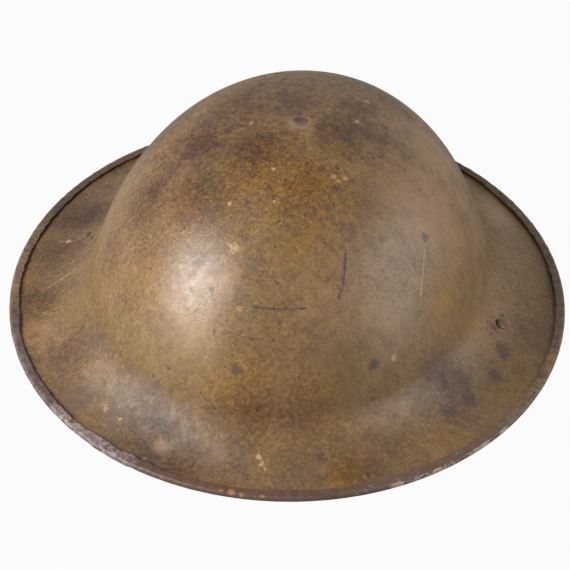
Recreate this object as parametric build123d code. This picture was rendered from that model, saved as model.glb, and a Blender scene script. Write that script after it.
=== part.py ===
from build123d import *
import math
import os

os.makedirs("parts", exist_ok=True)

# Steel helmet with a deep oval bowl and a wide sloping brim, standing on its rim.
# X runs across the helmet, Y from front (minus) to back, Z up from the table.
# Each piece is one solid in its own file, and like small pieces share a file.

# Gap between pieces that rest on each other, and the overrun of cuts
gap = 0.3
overrun = 5.0

# Shell: one pressed sheet. The bowl follows a squared oval whose centre lies below
# the table, from the crown down to the foot of the bowl, where the brim starts.
sheet = 1.0
rim_half_width = 144.0
rim_half_length = 154.5
crown_height = 112.6
bowl_half_width = 107.5
bowl_half_length = 130.0
bowl_root_depth = 40.0
bowl_squareness = 2.3
bowl_turn = 68.0
level_edge = 6.0
brim_end_fall = 4.0
brim_bend_share = 0.5
brim_ease_share = 0.35
dome_turn_shares = (0.055, 0.12, 0.2, 0.3, 0.42, 0.54, 0.66, 0.78, 0.9, 1.0)
liner_turn_shares = (*dome_turn_shares, 1.05)
brim_steps = 10

# Rim: a steel strip folded over the edge of the brim, with its ends butted together
rim_sheet = 1.0
rim_fit = 0.25
rim_flange = 5.0
rim_fold = 1.4
rim_joint = 0.4
rim_joint_turn = 207.0

# Crown rivet, which holds the liner, and its washer inside
crown_head_radius = 4.6
crown_head_rise = 1.1
crown_shank_radius = 2.0
crown_washer_radius = 6.5
crown_washer = 1.0
rivet_seat = 0.1
rivet_fit = 0.15
formed_head = 0.8

# Liner: felt crown pad, two crossed leather straps, a band round the head
felt = 7.0
felt_radius = 40.0
strap_leather = 2.0
cross_strap_width = 22.0
liner_foot = 17.0
liner_top = 55.0
band = 1.5
strap_lap = 14.0
strap_rivet_spread = 6.0
small_rivet_radius = 1.2
small_head_radius = 2.2
small_head = 0.6
small_head_sides = 12
small_shank_sides = 6

# Rubber tubes stand round the band as buffers, each pinned by one rivet
tube_count = 12
tube_foot = 20.0
tube_top = 50.0
tube_bore_radius = 2.2
tube_bow = 1.0

# Sweatband of oiled cloth inside the band, and the twine net over the head
sweatband = 2.4
sweatband_top = 50.0
net_twine = 1.8
net_pitch = 12.0
net_border = 4.0
net_rise = 32.0
net_sides = 24
net_slope_shares = (0.0, 0.35, 0.65, 0.85, 0.96)

# Bails: wire loops that carry the chin strap, each in a sheet lug riveted to the brim
bail_brim_share = 0.43
slope_probe_share = 0.001
bail_head_radius = 3.0
bail_head_rise = 1.0
bail_shank_radius = 1.5
bail_formed_radius = 2.6
lug_sheet = 1.0
lug_width = 14.0
lug_outward = 6.0
lug_inward = 9.0
wire_radius = 1.2
wire_fit = 0.1
bail_width = 26.0
bail_drop = 9.0
bail_corner = 3.5

# Chin strap: one leather strap between the bails, doubled back to a sheet slide
strap_width = 16.0
chin_leather = 1.8
slide_sheet = 0.7
slide_length = 14.0
slide_place = -30.0
slide_fit = 0.2
slide_corner = 1.6
slide_rivet_radius = 1.4
tail_length = 24.0
tail_rivet_inset = 6.0

# Heights and offsets that follow from the sizes above
level_height = rim_sheet + rim_fit
band_drop = sheet + gap + felt + gap + strap_leather + gap
band_inner_drop = band_drop + band
sweat_drop = band_inner_drop + small_head + 2 * gap
net_drop = band_inner_drop + gap
strap_drop = sheet + gap + felt + gap
lower_strap_drop = strap_drop + strap_leather + gap
tube_radius = (band_drop - sheet - tube_bow) / 2 - gap


def dome_point(turn_share, half, drop):
    """Reach and height of the bowl's outline, moved inward by drop."""
    turn = math.radians(bowl_turn) * turn_share
    reach = (half - drop) * math.sin(turn) ** (2 / bowl_squareness)
    rise = (crown_height + bowl_root_depth - drop) * math.cos(turn) ** (2 / bowl_squareness)
    return reach, rise - bowl_root_depth


def dome_reach(height, half, drop):
    """Reach of the bowl's outline at a height, moved inward by drop."""
    rise = (height + bowl_root_depth) / (crown_height + bowl_root_depth - drop)
    return (half - drop) * (1 - rise**bowl_squareness) ** (1 / bowl_squareness)


def brim_guides(half, edge_half, drop):
    """The four guide points of the curve from the foot of the bowl to the level edge."""
    turn = math.radians(bowl_turn)
    reach, height = dome_point(1.0, half, drop)
    steepness = (crown_height + bowl_root_depth - drop) / (half - drop)
    fall = steepness * math.tan(turn) ** (2 - 2 / bowl_squareness)
    level = level_height + sheet - drop
    end = edge_half - level_edge
    bend = brim_bend_share * (height - level)
    ease = brim_ease_share * (end - reach)
    ease_rise = ease * math.tan(math.radians(brim_end_fall))
    return (
        (reach, height),
        (reach + bend / fall, height - bend),
        (end - ease, level + ease_rise),
        (end, level),
    )


def brim_point(share, half, edge_half, drop):
    """Reach and height of the brim at a share of its curve, moved inward by drop."""
    first, second, third, last = brim_guides(half, edge_half, drop)
    rest = 1 - share
    weights = (rest**3, 3 * rest**2 * share, 3 * rest * share**2, share**3)
    guides = (first, second, third, last)
    reach = sum(weight * guide[0] for weight, guide in zip(weights, guides))
    height = sum(weight * guide[1] for weight, guide in zip(weights, guides))
    return reach, height


def oval(reach_x, reach_y, height):
    return Pos(0, 0, height) * Ellipse(reach_x, reach_y)


def dome(drop, turn_shares=dome_turn_shares):
    """The space under the bowl, moved inward by drop, down to the foot of the bowl."""
    sections = []
    for share in turn_shares:
        reach_x, height = dome_point(share, bowl_half_width, drop)
        reach_y, height = dome_point(share, bowl_half_length, drop)
        sections.append(oval(reach_x, reach_y, height))
    return loft(sections)


def brim(drop):
    """The space under the brim, moved inward by drop, from bowl's foot to level edge."""
    sections = []
    for step in range(brim_steps + 1):
        share = step / brim_steps
        reach_x, height = brim_point(share, bowl_half_width, rim_half_width, drop)
        reach_y, height = brim_point(share, bowl_half_length, rim_half_length, drop)
        sections.append(oval(reach_x, reach_y, height))
    return loft(sections)


def bowl(drop):
    return dome(drop) + brim(drop)


def slab(low, high, half_width=rim_half_width, half_length=rim_half_length):
    """A block centred on the axis, from one height to another."""
    block = Box(2 * half_width, 2 * half_length, high - low)
    return Pos(0, 0, (low + high) / 2) * block


def oval_plate(inset, low, high):
    """A plate with the outline of the rim, moved inward by inset."""
    outline = oval(rim_half_width - inset, rim_half_length - inset, low)
    return extrude(outline, high - low)


def crown_top(drop):
    """Height of the small level place at the crown, moved inward by drop."""
    return dome_point(dome_turn_shares[0], bowl_half_width, drop)[1]


def post(radius, low, high):
    """An upright round bar on the axis of the helmet."""
    return Pos(0, 0, (low + high) / 2) * Cylinder(radius, high - low)


def round_head(radius, rise):
    """A low domed rivet head that stands on the plane z = 0."""
    ball = (radius**2 + rise**2) / (2 * rise)
    cap = Pos(0, 0, rise - ball) * Sphere(ball)
    return cap & Pos(0, 0, rise / 2) * Cylinder(radius, rise)


def bail_seat():
    """Middle of the side rivet on the brim, and the direction square to the brim there."""
    ahead_share = bail_brim_share + slope_probe_share
    reach, height = brim_point(bail_brim_share, bowl_half_width, rim_half_width, 0)
    next_reach, next_height = brim_point(ahead_share, bowl_half_width, rim_half_width, 0)
    along = Vector(next_reach - reach, 0, next_height - height).normalized()
    return Vector(reach, 0, height), along


def seat_plane():
    """Plane on the right side of the brim: x runs up the slope, z points outward."""
    middle, downhill = bail_seat()
    outward = Vector(-downhill.Z, 0, downhill.X)
    return Plane(origin=middle, x_dir=-downhill, z_dir=outward)


def make_shell():
    body = bowl(0) + oval_plate(rim_sheet + rim_fit, level_height, level_height + sheet)
    body -= bowl(sheet)
    body -= post(crown_shank_radius + rivet_fit, crown_height - overrun, crown_height + overrun)
    hole = seat_plane() * Cylinder(bail_shank_radius + rivet_fit, 2 * overrun)
    body -= hole
    body -= mirror(hole, about=Plane.YZ)
    return body


def make_rim_strip():
    height = 2 * level_height + sheet
    ring = oval_plate(0, 0, height)
    outer_edges = ring.edges().filter_by(GeomType.ELLIPSE)
    ring = fillet(outer_edges, rim_fold)
    ring -= oval_plate(rim_flange, -overrun, height + overrun)
    ring -= oval_plate(rim_sheet, rim_sheet, height - rim_sheet)
    joint = Pos(rim_half_width, 0, 0) * Box(2 * rim_flange + rim_half_width, rim_joint, 2 * overrun)
    return ring - Rot(0, 0, rim_joint_turn) * joint


def make_crown_rivet():
    top = crown_top(0) + rivet_seat
    foot = crown_top(lower_strap_drop + strap_leather + gap) - crown_washer - rivet_seat
    head = Pos(0, 0, top) * round_head(crown_head_radius, crown_head_rise)
    shank = post(crown_shank_radius, foot - formed_head, top)
    tail = post(crown_shank_radius + formed_head, foot - formed_head, foot)
    return head + shank + tail


def make_crown_washer():
    top = crown_top(lower_strap_drop + strap_leather + gap)
    ring = post(crown_washer_radius, top - crown_washer, top)
    return ring - post(crown_shank_radius + rivet_fit, top - overrun, top + overrun)


def crown_hole():
    return post(crown_shank_radius + rivet_fit, liner_top, crown_height)


def layer(outer_drop, inner_drop):
    """A skin under the bowl between two inward moves, a little deeper than the bowl."""
    return dome(outer_drop, liner_turn_shares) - dome(inner_drop, liner_turn_shares)


def make_felt_pad():
    top = sheet + gap
    disc = post(felt_radius, liner_top, crown_height)
    return (layer(top, top + felt) & disc) - crown_hole()


def strap_foot():
    return liner_top - strap_lap


def make_cross_strap_long():
    skin = layer(strap_drop, strap_drop + strap_leather)
    strip = skin & slab(strap_foot(), crown_height, half_width=cross_strap_width / 2)
    return strip - crown_hole() - strap_rivet_holes()


def make_cross_strap_short():
    """The strap across the helmet steps down one layer to pass under the long one."""
    strip_box = slab(strap_foot(), crown_height, half_length=cross_strap_width / 2)
    step_out = cross_strap_width / 2 + gap
    step_end = step_out + strap_leather + gap
    upper = layer(strap_drop, strap_drop + strap_leather)
    upper -= slab(strap_foot(), crown_height, half_width=step_out)
    riser = layer(strap_drop, lower_strap_drop + strap_leather)
    riser &= slab(strap_foot(), crown_height, half_width=step_end)
    riser -= slab(strap_foot(), crown_height, half_width=step_out)
    lower = layer(lower_strap_drop, lower_strap_drop + strap_leather)
    lower &= slab(strap_foot(), crown_height, half_width=step_end)
    strip = (upper & strip_box) + (riser & strip_box) + (lower & strip_box)
    return strip - crown_hole() - strap_rivet_holes()


def side_plane(turn, height, drop):
    """Plane on the bowl at a turn round it, moved inward by drop, with z outward."""
    reach_x = dome_reach(height, bowl_half_width, drop)
    reach_y = dome_reach(height, bowl_half_length, drop)
    angle = math.radians(turn)
    place = Vector(reach_x * math.cos(angle), reach_y * math.sin(angle), height)
    power = bowl_squareness
    root_x = bowl_half_width - drop
    root_y = bowl_half_length - drop
    rise = crown_height + bowl_root_depth - drop
    flat = math.hypot(place.X / root_x, place.Y / root_y) ** (power - 2)
    lean = ((height + bowl_root_depth) / rise) ** (power - 1) / rise
    outward = Vector(flat * place.X / root_x**2, flat * place.Y / root_y**2, lean)
    return Plane(origin=place, z_dir=outward.normalized())


def small_shank(low, high, fit=0):
    """The shank of a small rivet along z, or the hole for it with a fit."""
    outline = Pos(0, 0, low) * RegularPolygon(small_rivet_radius + fit, small_shank_sides)
    return extrude(outline, high - low)


def small_rivet_head(low):
    outline = Pos(0, 0, low) * RegularPolygon(small_head_radius, small_head_sides)
    return extrude(outline, small_head)


def small_rivet(plane, inner_depth, outer_rise):
    """A small rivet through the band: its inner head, shank and outer formed head."""
    inner = small_rivet_head(-inner_depth - small_head)
    outer = small_rivet_head(outer_rise)
    return plane * (inner + small_shank(-inner_depth, outer_rise) + outer)


def strap_rivet_planes():
    middle = liner_top - strap_lap / 2
    return [
        side_plane(turn, middle + side * strap_rivet_spread / 2, band_drop)
        for turn in (0, 90, 180, 270)
        for side in (-1, 1)
    ]


def strap_rivet_holes():
    hole = small_shank(-overrun, overrun, rivet_fit)
    return [plane * hole for plane in strap_rivet_planes()]


def make_strap_rivets():
    depth = band + rivet_seat
    rise = gap + strap_leather + rivet_seat
    return [small_rivet(plane, depth, rise) for plane in strap_rivet_planes()]


def tube_turns():
    step = 360 / tube_count
    return [step * (index + 0.5) for index in range(tube_count)]


def tube_axis(turn):
    """Lower and upper end of a tube's axis, midway between bowl and band."""
    middle_drop = (sheet + band_drop - tube_bow) / 2
    angle = math.radians(turn)
    ends = []
    for height in (tube_foot, tube_top):
        reach_x = dome_reach(height, bowl_half_width, middle_drop)
        reach_y = dome_reach(height, bowl_half_length, middle_drop)
        ends.append(Vector(reach_x * math.cos(angle), reach_y * math.sin(angle), height))
    return ends


def make_tube(turn):
    """A rubber tube with a small hole on its inner side for its rivet."""
    low, high = tube_axis(turn)
    upright = Plane(origin=low, z_dir=(high - low).normalized())
    length = (high - low).length
    wall = Circle(tube_radius) - Circle(tube_bore_radius)
    tube = upright * extrude(wall, length)
    return tube - tube_rivet_hole(turn)


def tube_rivet_plane(turn):
    return side_plane(turn, (tube_foot + tube_top) / 2, band_drop)


def tube_rivet_hole(turn):
    hole = small_shank(-overrun, tube_radius + gap, rivet_fit)
    return tube_rivet_plane(turn) * hole


def make_tube_rivets():
    depth = band + rivet_seat
    rise = tube_radius - tube_bore_radius + 2 * gap
    rivets = []
    for turn in tube_turns():
        rivet = small_shank(-depth, rise) + small_rivet_head(-depth - small_head)
        rivets.append(tube_rivet_plane(turn) * rivet)
    return rivets


def make_liner_band():
    ring = layer(band_drop, band_inner_drop) & slab(liner_foot, liner_top)
    ring -= strap_rivet_holes()
    return ring - [tube_rivet_hole(turn) for turn in tube_turns()]


def make_sweatband():
    return layer(sweat_drop, sweat_drop + sweatband) & slab(liner_foot, sweatband_top)


def net_outline(reach_x, reach_y, height):
    """An oval of straight sides, since tight twine runs straight from knot to knot."""
    turns = [2 * math.pi * side / net_sides for side in range(net_sides)]
    corners = [(reach_x * math.cos(turn), reach_y * math.sin(turn)) for turn in turns]
    return Pos(0, 0, height) * Polygon(*corners)


def net_space(inset, foot):
    """The space under the net: an oval cap that starts inside the top of the band."""
    reach_x = dome_reach(liner_top, bowl_half_width, net_drop) - inset
    reach_y = dome_reach(liner_top, bowl_half_length, net_drop) - inset
    low = sweatband_top + gap
    sections = [net_outline(reach_x, reach_y, foot)]
    for share in net_slope_shares:
        height = low + net_border + (net_rise - inset) * share
        around = math.sqrt(1 - share**2)
        sections.append(net_outline(reach_x * around, reach_y * around, height))
    return loft(sections, ruled=True)


def net_holes():
    """Square meshes on edge over the cap, kept whole inside its border."""
    reach_x = dome_reach(liner_top, bowl_half_width, net_drop) - 2 * net_twine
    reach_y = dome_reach(liner_top, bowl_half_length, net_drop) - 2 * net_twine
    across = net_pitch * math.sqrt(2)
    count_x = int(reach_x / across) + 1
    count_y = int(reach_y / across) + 1
    mesh = Rot(0, 0, 45) * Rectangle(net_pitch - net_twine, net_pitch - net_twine)
    half = across / 2
    meshes = []
    for row in range(-2 * count_y, 2 * count_y + 1):
        for column in range(-2 * count_x, 2 * count_x + 1):
            x, y = column * half, row * half
            clear = ((abs(x) + half) / reach_x) ** 2 + (y / reach_y) ** 2 < 1
            clear = clear and (x / reach_x) ** 2 + ((abs(y) + half) / reach_y) ** 2 < 1
            if (row + column) % 2 == 0 and clear:
                meshes.append(Pos(x, y, 0) * mesh)
    return meshes


def make_net():
    low = sweatband_top + gap
    top = low + net_border + net_rise
    cap = net_space(0, low) - net_space(net_twine, low - overrun)
    reach_x = dome_reach(liner_top, bowl_half_width, net_drop) + overrun
    reach_y = dome_reach(liner_top, bowl_half_length, net_drop) + overrun
    holed = Ellipse(reach_x, reach_y) - net_holes()
    return cap & Pos(0, 0, low) * extrude(holed, top - low + overrun)


def make_bail_rivet():
    depth = sheet + rivet_seat + lug_sheet + rivet_seat
    head = Pos(0, 0, rivet_seat) * round_head(bail_head_radius, bail_head_rise)
    shank = Pos(0, 0, (rivet_seat - depth) / 2) * Cylinder(bail_shank_radius, depth + rivet_seat)
    tail = Pos(0, 0, -depth - formed_head / 2) * Cylinder(bail_formed_radius, formed_head)
    return seat_plane() * (head + shank + tail)


def barrel_depth():
    """How far the bail's axis lies under the outer face of the brim."""
    return sheet + rivet_seat + lug_sheet + wire_fit + wire_radius


def barrel_axis():
    """Middle of the bail's hinge on the right side, and the lug's own place for it."""
    return seat_plane().from_local_coords(Vector(lug_inward, 0, -barrel_depth()))


def make_bail_lug():
    top = -sheet - rivet_seat
    length = lug_outward + lug_inward
    middle = (lug_inward - lug_outward) / 2
    plate = Pos(middle, 0, top - lug_sheet / 2) * Box(length, lug_width, lug_sheet)
    bore = wire_radius + wire_fit
    axis = Pos(lug_inward, 0, -barrel_depth()) * Rot(90, 0, 0)
    barrel = axis * Cylinder(bore + lug_sheet, lug_width)
    lug = plate + barrel - axis * Cylinder(bore, lug_width + 2 * overrun)
    lug -= Cylinder(bail_shank_radius + rivet_fit, 2 * overrun)
    return seat_plane() * lug


def wire_bar(start, end):
    """A straight length of the bail's wire."""
    along = Vector(*end) - Vector(*start)
    section = Plane(origin=start, z_dir=along) * Circle(wire_radius)
    return extrude(section, along.length)


def make_bail():
    """A closed loop of round wire that hangs from its barrel."""
    half = bail_width / 2
    corner = bail_width / 2 - bail_corner
    low, high = bail_corner - bail_drop, -bail_corner
    section = Pos(half, 0, high) * Circle(wire_radius)
    bend = revolve(section, Axis((corner, 0, high), (0, -1, 0)), 90)
    side = wire_bar((half, 0, low), (half, 0, high))
    quarter = bend + side + mirror(bend, about=Plane.XY.offset(-bail_drop / 2))
    bars = wire_bar((-corner, 0, 0), (corner, 0, 0))
    bars += wire_bar((-corner, 0, -bail_drop), (corner, 0, -bail_drop))
    loop = quarter + bars + mirror(quarter, about=Plane.YZ)
    return Pos(barrel_axis()) * Rot(0, 0, 90) * loop


def chin_ring_radius():
    return wire_radius + gap + chin_leather


def run_low():
    """Underside of the strap's lower layer, which lies in the slide."""
    return gap + slide_sheet + slide_fit


def run_high():
    return run_low() + chin_leather


def upper_low():
    return run_high() + gap


def upper_high():
    return upper_low() + chin_leather


def swing_clear(height):
    """Farthest reach at a height that the swinging end of the strap never touches."""
    axis = barrel_axis()
    radius = bail_drop + chin_ring_radius() + gap
    return axis.X - math.sqrt(radius**2 - (axis.Z - height) ** 2)


def make_strap_end():
    """The strap's turn round the bail, with the short lead down to the table."""
    axis = barrel_axis()
    low_bar = Vector(axis.X, 0, axis.Z - bail_drop)
    tip = swing_clear(run_high() + gap)
    turned = Pos(low_bar.X, 0, low_bar.Z) * Rot(90, 0, 0)
    ring = turned * Cylinder(chin_ring_radius(), strap_width)
    lead_length = low_bar.X - tip
    lead = Box(lead_length, strap_width, chin_leather)
    lead = Pos(low_bar.X - lead_length / 2, 0, upper_low() + chin_leather / 2) * lead
    return ring + lead - turned * Cylinder(wire_radius + gap, strap_width + 2 * overrun)


def strap_piece(start, end, low):
    """A flat length of the strap with its long edges rounded."""
    body = Pos((start + end) / 2, 0, low + chin_leather / 2)
    strip = body * Box(end - start, strap_width, chin_leather)
    return fillet(strip.edges().filter_by(Axis.X), chin_leather / 3)


def strap_hole(x):
    return Pos(x, 0, upper_low()) * small_shank(-overrun, overrun, rivet_fit)


def tail_rivet_places():
    start = -swing_clear(upper_high() + gap)
    return [start + tail_rivet_inset, start + tail_length - tail_rivet_inset]


def make_chinstrap_run():
    end = swing_clear(run_high() + gap)
    return strap_piece(-end, end, run_low()) - [strap_hole(x) for x in tail_rivet_places()]


def make_chinstrap_tail():
    start = -swing_clear(upper_high() + gap)
    tail = strap_piece(start, start + tail_length, upper_low())
    return tail - [strap_hole(x) for x in tail_rivet_places()]


def make_chinstrap_rivets():
    rivets = []
    for x in tail_rivet_places():
        low = run_low() - rivet_seat
        high = upper_high() + rivet_seat
        rivet = small_rivet_head(low - small_head) + small_shank(low, high) + small_rivet_head(high)
        rivets.append(Pos(x, 0, 0) * rivet)
    return rivets


def make_chinstrap_return():
    start = slide_place - slide_length / 2
    end = swing_clear(upper_high() + gap)
    hole = Pos(slide_place, 0, upper_high()) * Cylinder(slide_rivet_radius + rivet_fit, 2 * overrun)
    return strap_piece(start, end, upper_low()) - (hole & slab(upper_low(), crown_height))


def make_strap_slide():
    """A flat loop of sheet round both layers of the strap."""
    inner_width = strap_width + 2 * slide_fit
    low = run_low() - slide_fit
    high = upper_high() + slide_fit
    face = Plane(origin=(slide_place - slide_length / 2, 0, (low + high) / 2), z_dir=(1, 0, 0))
    outer = RectangleRounded(high - low + 2 * slide_sheet, inner_width + 2 * slide_sheet, slide_corner)
    inner = RectangleRounded(high - low, inner_width, slide_corner - slide_sheet)
    tube = extrude(face * (outer - inner), slide_length)
    hole = Pos(slide_place, 0, high) * Cylinder(slide_rivet_radius + rivet_fit, chin_leather)
    return tube - hole


def make_slide_rivet():
    top = upper_high() + slide_fit + slide_sheet + rivet_seat
    shank = Pos(slide_place, 0, (upper_low() + top) / 2)
    shank = shank * Cylinder(slide_rivet_radius, top - upper_low())
    head = Pos(slide_place, 0, top) * round_head(small_head_radius, small_head)
    return shank + head


def save(solids, name):
    if isinstance(solids, list):
        solids = Compound(children=solids)
    export_step(solids, f"parts/{name}.step")


def save_pair(solid, name):
    """Save a piece of the right side and its mirror image on the left."""
    save(solid, f"{name}_right")
    save(mirror(solid, about=Plane.YZ), f"{name}_left")


save(make_shell(), "shell")
save(make_rim_strip(), "rim_strip")
save(make_crown_rivet(), "crown_rivet")
save(make_crown_washer(), "crown_washer")
save(make_felt_pad(), "felt_pad")
save(make_cross_strap_long(), "cross_strap_long")
save(make_cross_strap_short(), "cross_strap_short")
save(make_strap_rivets(), "strap_rivets")
save(make_liner_band(), "liner_band")
for index, turn in enumerate(tube_turns()):
    save(make_tube(turn), f"rubber_tube_{index + 1:02d}")
save(make_tube_rivets(), "tube_rivets")
save(make_sweatband(), "sweatband")
save(make_net(), "net_cap")
save_pair(make_bail_rivet(), "bail_rivet")
save_pair(make_bail_lug(), "bail_lug")
save_pair(make_bail(), "bail")
save_pair(make_strap_end(), "strap_end")
save(make_chinstrap_run(), "chinstrap_run")
save(make_chinstrap_tail(), "chinstrap_tail")
save(make_chinstrap_return(), "chinstrap_return")
save(make_chinstrap_rivets(), "chinstrap_rivets")
save(make_strap_slide(), "strap_slide")
save(make_slide_rivet(), "slide_rivet")

axis = barrel_axis()
print("right bail axis at x, z", round(axis.X, 3), round(axis.Z, 3))
print("side rivet at", bail_seat()[0])
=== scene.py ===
import math

import bmesh
import bpy
import numpy as np
from mathutils import Matrix, Vector


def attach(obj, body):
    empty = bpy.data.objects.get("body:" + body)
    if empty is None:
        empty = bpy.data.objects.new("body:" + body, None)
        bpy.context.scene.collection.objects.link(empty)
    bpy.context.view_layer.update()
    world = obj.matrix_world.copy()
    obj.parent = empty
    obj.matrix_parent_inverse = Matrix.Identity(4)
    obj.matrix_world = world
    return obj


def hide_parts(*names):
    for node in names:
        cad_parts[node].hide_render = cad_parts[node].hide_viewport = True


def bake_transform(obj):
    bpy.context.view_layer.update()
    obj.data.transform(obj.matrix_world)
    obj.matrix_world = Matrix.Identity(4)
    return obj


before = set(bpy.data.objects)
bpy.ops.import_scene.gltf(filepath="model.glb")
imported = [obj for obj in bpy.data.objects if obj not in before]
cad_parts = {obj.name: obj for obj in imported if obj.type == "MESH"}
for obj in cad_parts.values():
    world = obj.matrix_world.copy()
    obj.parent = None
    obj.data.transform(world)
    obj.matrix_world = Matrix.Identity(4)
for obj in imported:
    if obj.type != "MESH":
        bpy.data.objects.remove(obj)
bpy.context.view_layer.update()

# Camera: the helmet was photographed from above its front, turned a little to the
# wearer's left, with a long lens. The view is given by its turn round the helmet, its
# height angle, a small roll and the distance from a point 40 mm above the table.
mm = 0.001
view_turn = math.radians(14)
view_height = math.radians(39.38)
view_roll = math.radians(3.1)
view_distance = 1200 * mm
view_aim = Vector((0, 0, 40 * mm))
view_shift = (-2.3 * mm, -25.4 * mm)
photo_size = 570
photo_focal = 2339.1
sensor_width = 36

view_back = Vector((
    math.sin(view_turn) * math.cos(view_height),
    -math.cos(view_turn) * math.cos(view_height),
    math.sin(view_height),
))
view_level = Vector((math.cos(view_turn), math.sin(view_turn), 0))
view_upright = view_back.cross(view_level)
view_right = view_level * math.cos(view_roll) + view_upright * math.sin(view_roll)
view_up = view_upright * math.cos(view_roll) - view_level * math.sin(view_roll)
view_place = (
    view_aim
    + view_level * view_shift[0]
    + view_upright * view_shift[1]
    + view_back * view_distance
)

camera = bpy.data.objects.new("camera", bpy.data.cameras.new("camera"))
bpy.context.scene.collection.objects.link(camera)
camera.matrix_world = Matrix.Translation(view_place) @ Matrix(
    (view_right, view_up, view_back)
).transposed().to_4x4()
camera.data.sensor_width = sensor_width
camera.data.lens = photo_focal * sensor_width / photo_size
bpy.context.scene.camera = camera
bpy.context.scene.view_settings.view_transform = "Standard"


def photo_pixels(points):
    """The photograph's pixel for each point, an array of x, y, z in metres."""
    away = points - np.array(view_place)
    depth = -(away @ np.array(view_back))
    across = photo_size / 2 + photo_focal * (away @ np.array(view_right)) / depth
    down = photo_size / 2 - photo_focal * (away @ np.array(view_up)) / depth
    return np.stack([across, down], axis=1)


# Studio: one large soft lamp at the front left, a weaker one at the right, a pale
# surround and a darker ceiling. The table is a plain white board that keeps the
# helmet's soft shadow.
key_turn, key_height, key_distance, key_width, key_power = -52, 31, 1.5, 0.8, 29
side_turn, side_height, side_distance, side_width, side_power = 97, 20, 1.6, 1.4, 12.5
surround = 0.34
ceiling, ceiling_starts, ceiling_full = 0.3, 0.35, 0.85
glossy_share = 0.4
board_half, board_glow = 6.0, 0.95


def linear(code):
    """An sRGB hex colour as the linear values that a shader takes."""
    parts = [int(code[i:i + 2], 16) / 255 for i in (1, 3, 5)]
    low = [part / 12.92 for part in parts]
    high = [((part + 0.055) / 1.055) ** 2.4 for part in parts]
    return tuple(h if part > 0.04045 else l for part, l, h in zip(parts, low, high)) + (1,)


def node(tree, kind, inputs=None, **settings):
    """One node with its settings and links. Its inputs are values, sockets or nodes, and
    a node stands for its first output in use."""
    made = tree.nodes.new("ShaderNode" + kind)
    for name, value in settings.items():
        setattr(made, name, value)
    for key, value in (inputs or {}).items():
        if isinstance(value, bpy.types.Node):
            value = next(socket for socket in value.outputs if socket.enabled)
        if isinstance(value, bpy.types.NodeSocket):
            tree.links.new(value, made.inputs[key])
        else:
            made.inputs[key].default_value = value
    return made


def soft_lamp(name, turn, height, distance, width, power):
    """A round lamp that faces the helmet from a turn and a height in degrees."""
    lamp = bpy.data.lights.new(name, "AREA")
    lamp.shape = "DISK"
    lamp.size = width
    lamp.energy = power
    away = Vector((
        math.sin(math.radians(turn)) * math.cos(math.radians(height)),
        -math.cos(math.radians(turn)) * math.cos(math.radians(height)),
        math.sin(math.radians(height)),
    ))
    holder = bpy.data.objects.new(name, lamp)
    holder.location = view_aim + away * distance
    holder.rotation_euler = away.to_track_quat("Z", "Y").to_euler()
    bpy.context.scene.collection.objects.link(holder)


soft_lamp("key_lamp", key_turn, key_height, key_distance, key_width, key_power)
soft_lamp("side_lamp", side_turn, side_height, side_distance, side_width, side_power)

world = bpy.data.worlds.new("pale_surround")
bpy.context.scene.world = world
world.use_nodes = True
tree = world.node_tree
tree.nodes.clear()
seen = node(tree, "LightPath")
mirrored = node(tree, "Math", {
    0: seen.outputs["Is Glossy Ray"], 1: glossy_share,
}, operation="MULTIPLY")
direct = node(tree, "Math", {0: seen.outputs["Is Camera Ray"], 1: mirrored})
shown = node(tree, "Math", {0: direct, 1: seen.outputs["Is Transmission Ray"]}, use_clamp=True)
glow = node(tree, "MapRange", {"Value": shown, "To Min": surround, "To Max": 1.0})
facing = node(tree, "SeparateXYZ", {0: node(tree, "TexCoord").outputs["Generated"]})
overhead = node(tree, "MapRange", {
    "Value": facing.outputs["Z"], "From Min": ceiling_starts, "From Max": ceiling_full,
    "To Min": 1.0, "To Max": ceiling,
})
strength = node(tree, "Math", {0: glow, 1: overhead}, operation="MULTIPLY")
sky = node(tree, "Background", {"Color": linear("#FFFFFF"), "Strength": strength})
node(tree, "OutputWorld", {"Surface": sky})

board_mesh = bpy.data.meshes.new("board")
board_mesh.from_pydata([
    (-board_half, -board_half, 0), (board_half, -board_half, 0),
    (board_half, board_half, 0), (-board_half, board_half, 0),
], [], [(0, 1, 2, 3)])
board = bpy.data.objects.new("board", board_mesh)
bpy.context.scene.collection.objects.link(board)

white_board = bpy.data.materials.new("matt white board")
white_board.use_nodes = True
tree = white_board.node_tree
tree.nodes.clear()
seen = node(tree, "LightPath").outputs["Is Camera Ray"]
chalk = node(tree, "BsdfDiffuse", {"Color": linear("#B4B4B4")})
white = node(tree, "Emission", {"Color": linear("#FFFFFF"), "Strength": 1.0})
share = node(tree, "Math", {0: seen, 1: board_glow}, operation="MULTIPLY")
lit = node(tree, "MixShader", {0: share, 1: chalk, 2: white})
node(tree, "OutputMaterial", {"Surface": lit})
board_mesh.materials.append(white_board)


# Shell: manganese steel sheet 1 mm thick, pressed cold to a squared oval bowl with a
# brim, then painted olive brown with a brush. Two curves give every station's oval:
# a squared oval from the crown to the foot of the bowl, and a Bezier to the level edge.
sheet = 1.0
rim_half_width, rim_half_length = 144.0, 154.5
crown_height = 112.6
bowl_half_width, bowl_half_length = 107.5, 130.0
bowl_root_depth = 40.0
bowl_squareness = 2.3
bowl_turn = math.radians(68)
level_edge = 6.0
level_height = 1.25
brim_end_fall = math.radians(4)
brim_bend_share, brim_ease_share = 0.5, 0.35
shell_inset = 1.25
shell_turns = 640


def dome_curve(share, half, drop):
    """Reach and height of the bowl at shares of its turn, moved inward by drop, in mm."""
    turn = bowl_turn * share
    reach = (half - drop) * np.sin(turn) ** (2 / bowl_squareness)
    rise = (crown_height + bowl_root_depth - drop) * np.cos(turn) ** (2 / bowl_squareness)
    return reach, rise - bowl_root_depth


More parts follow.
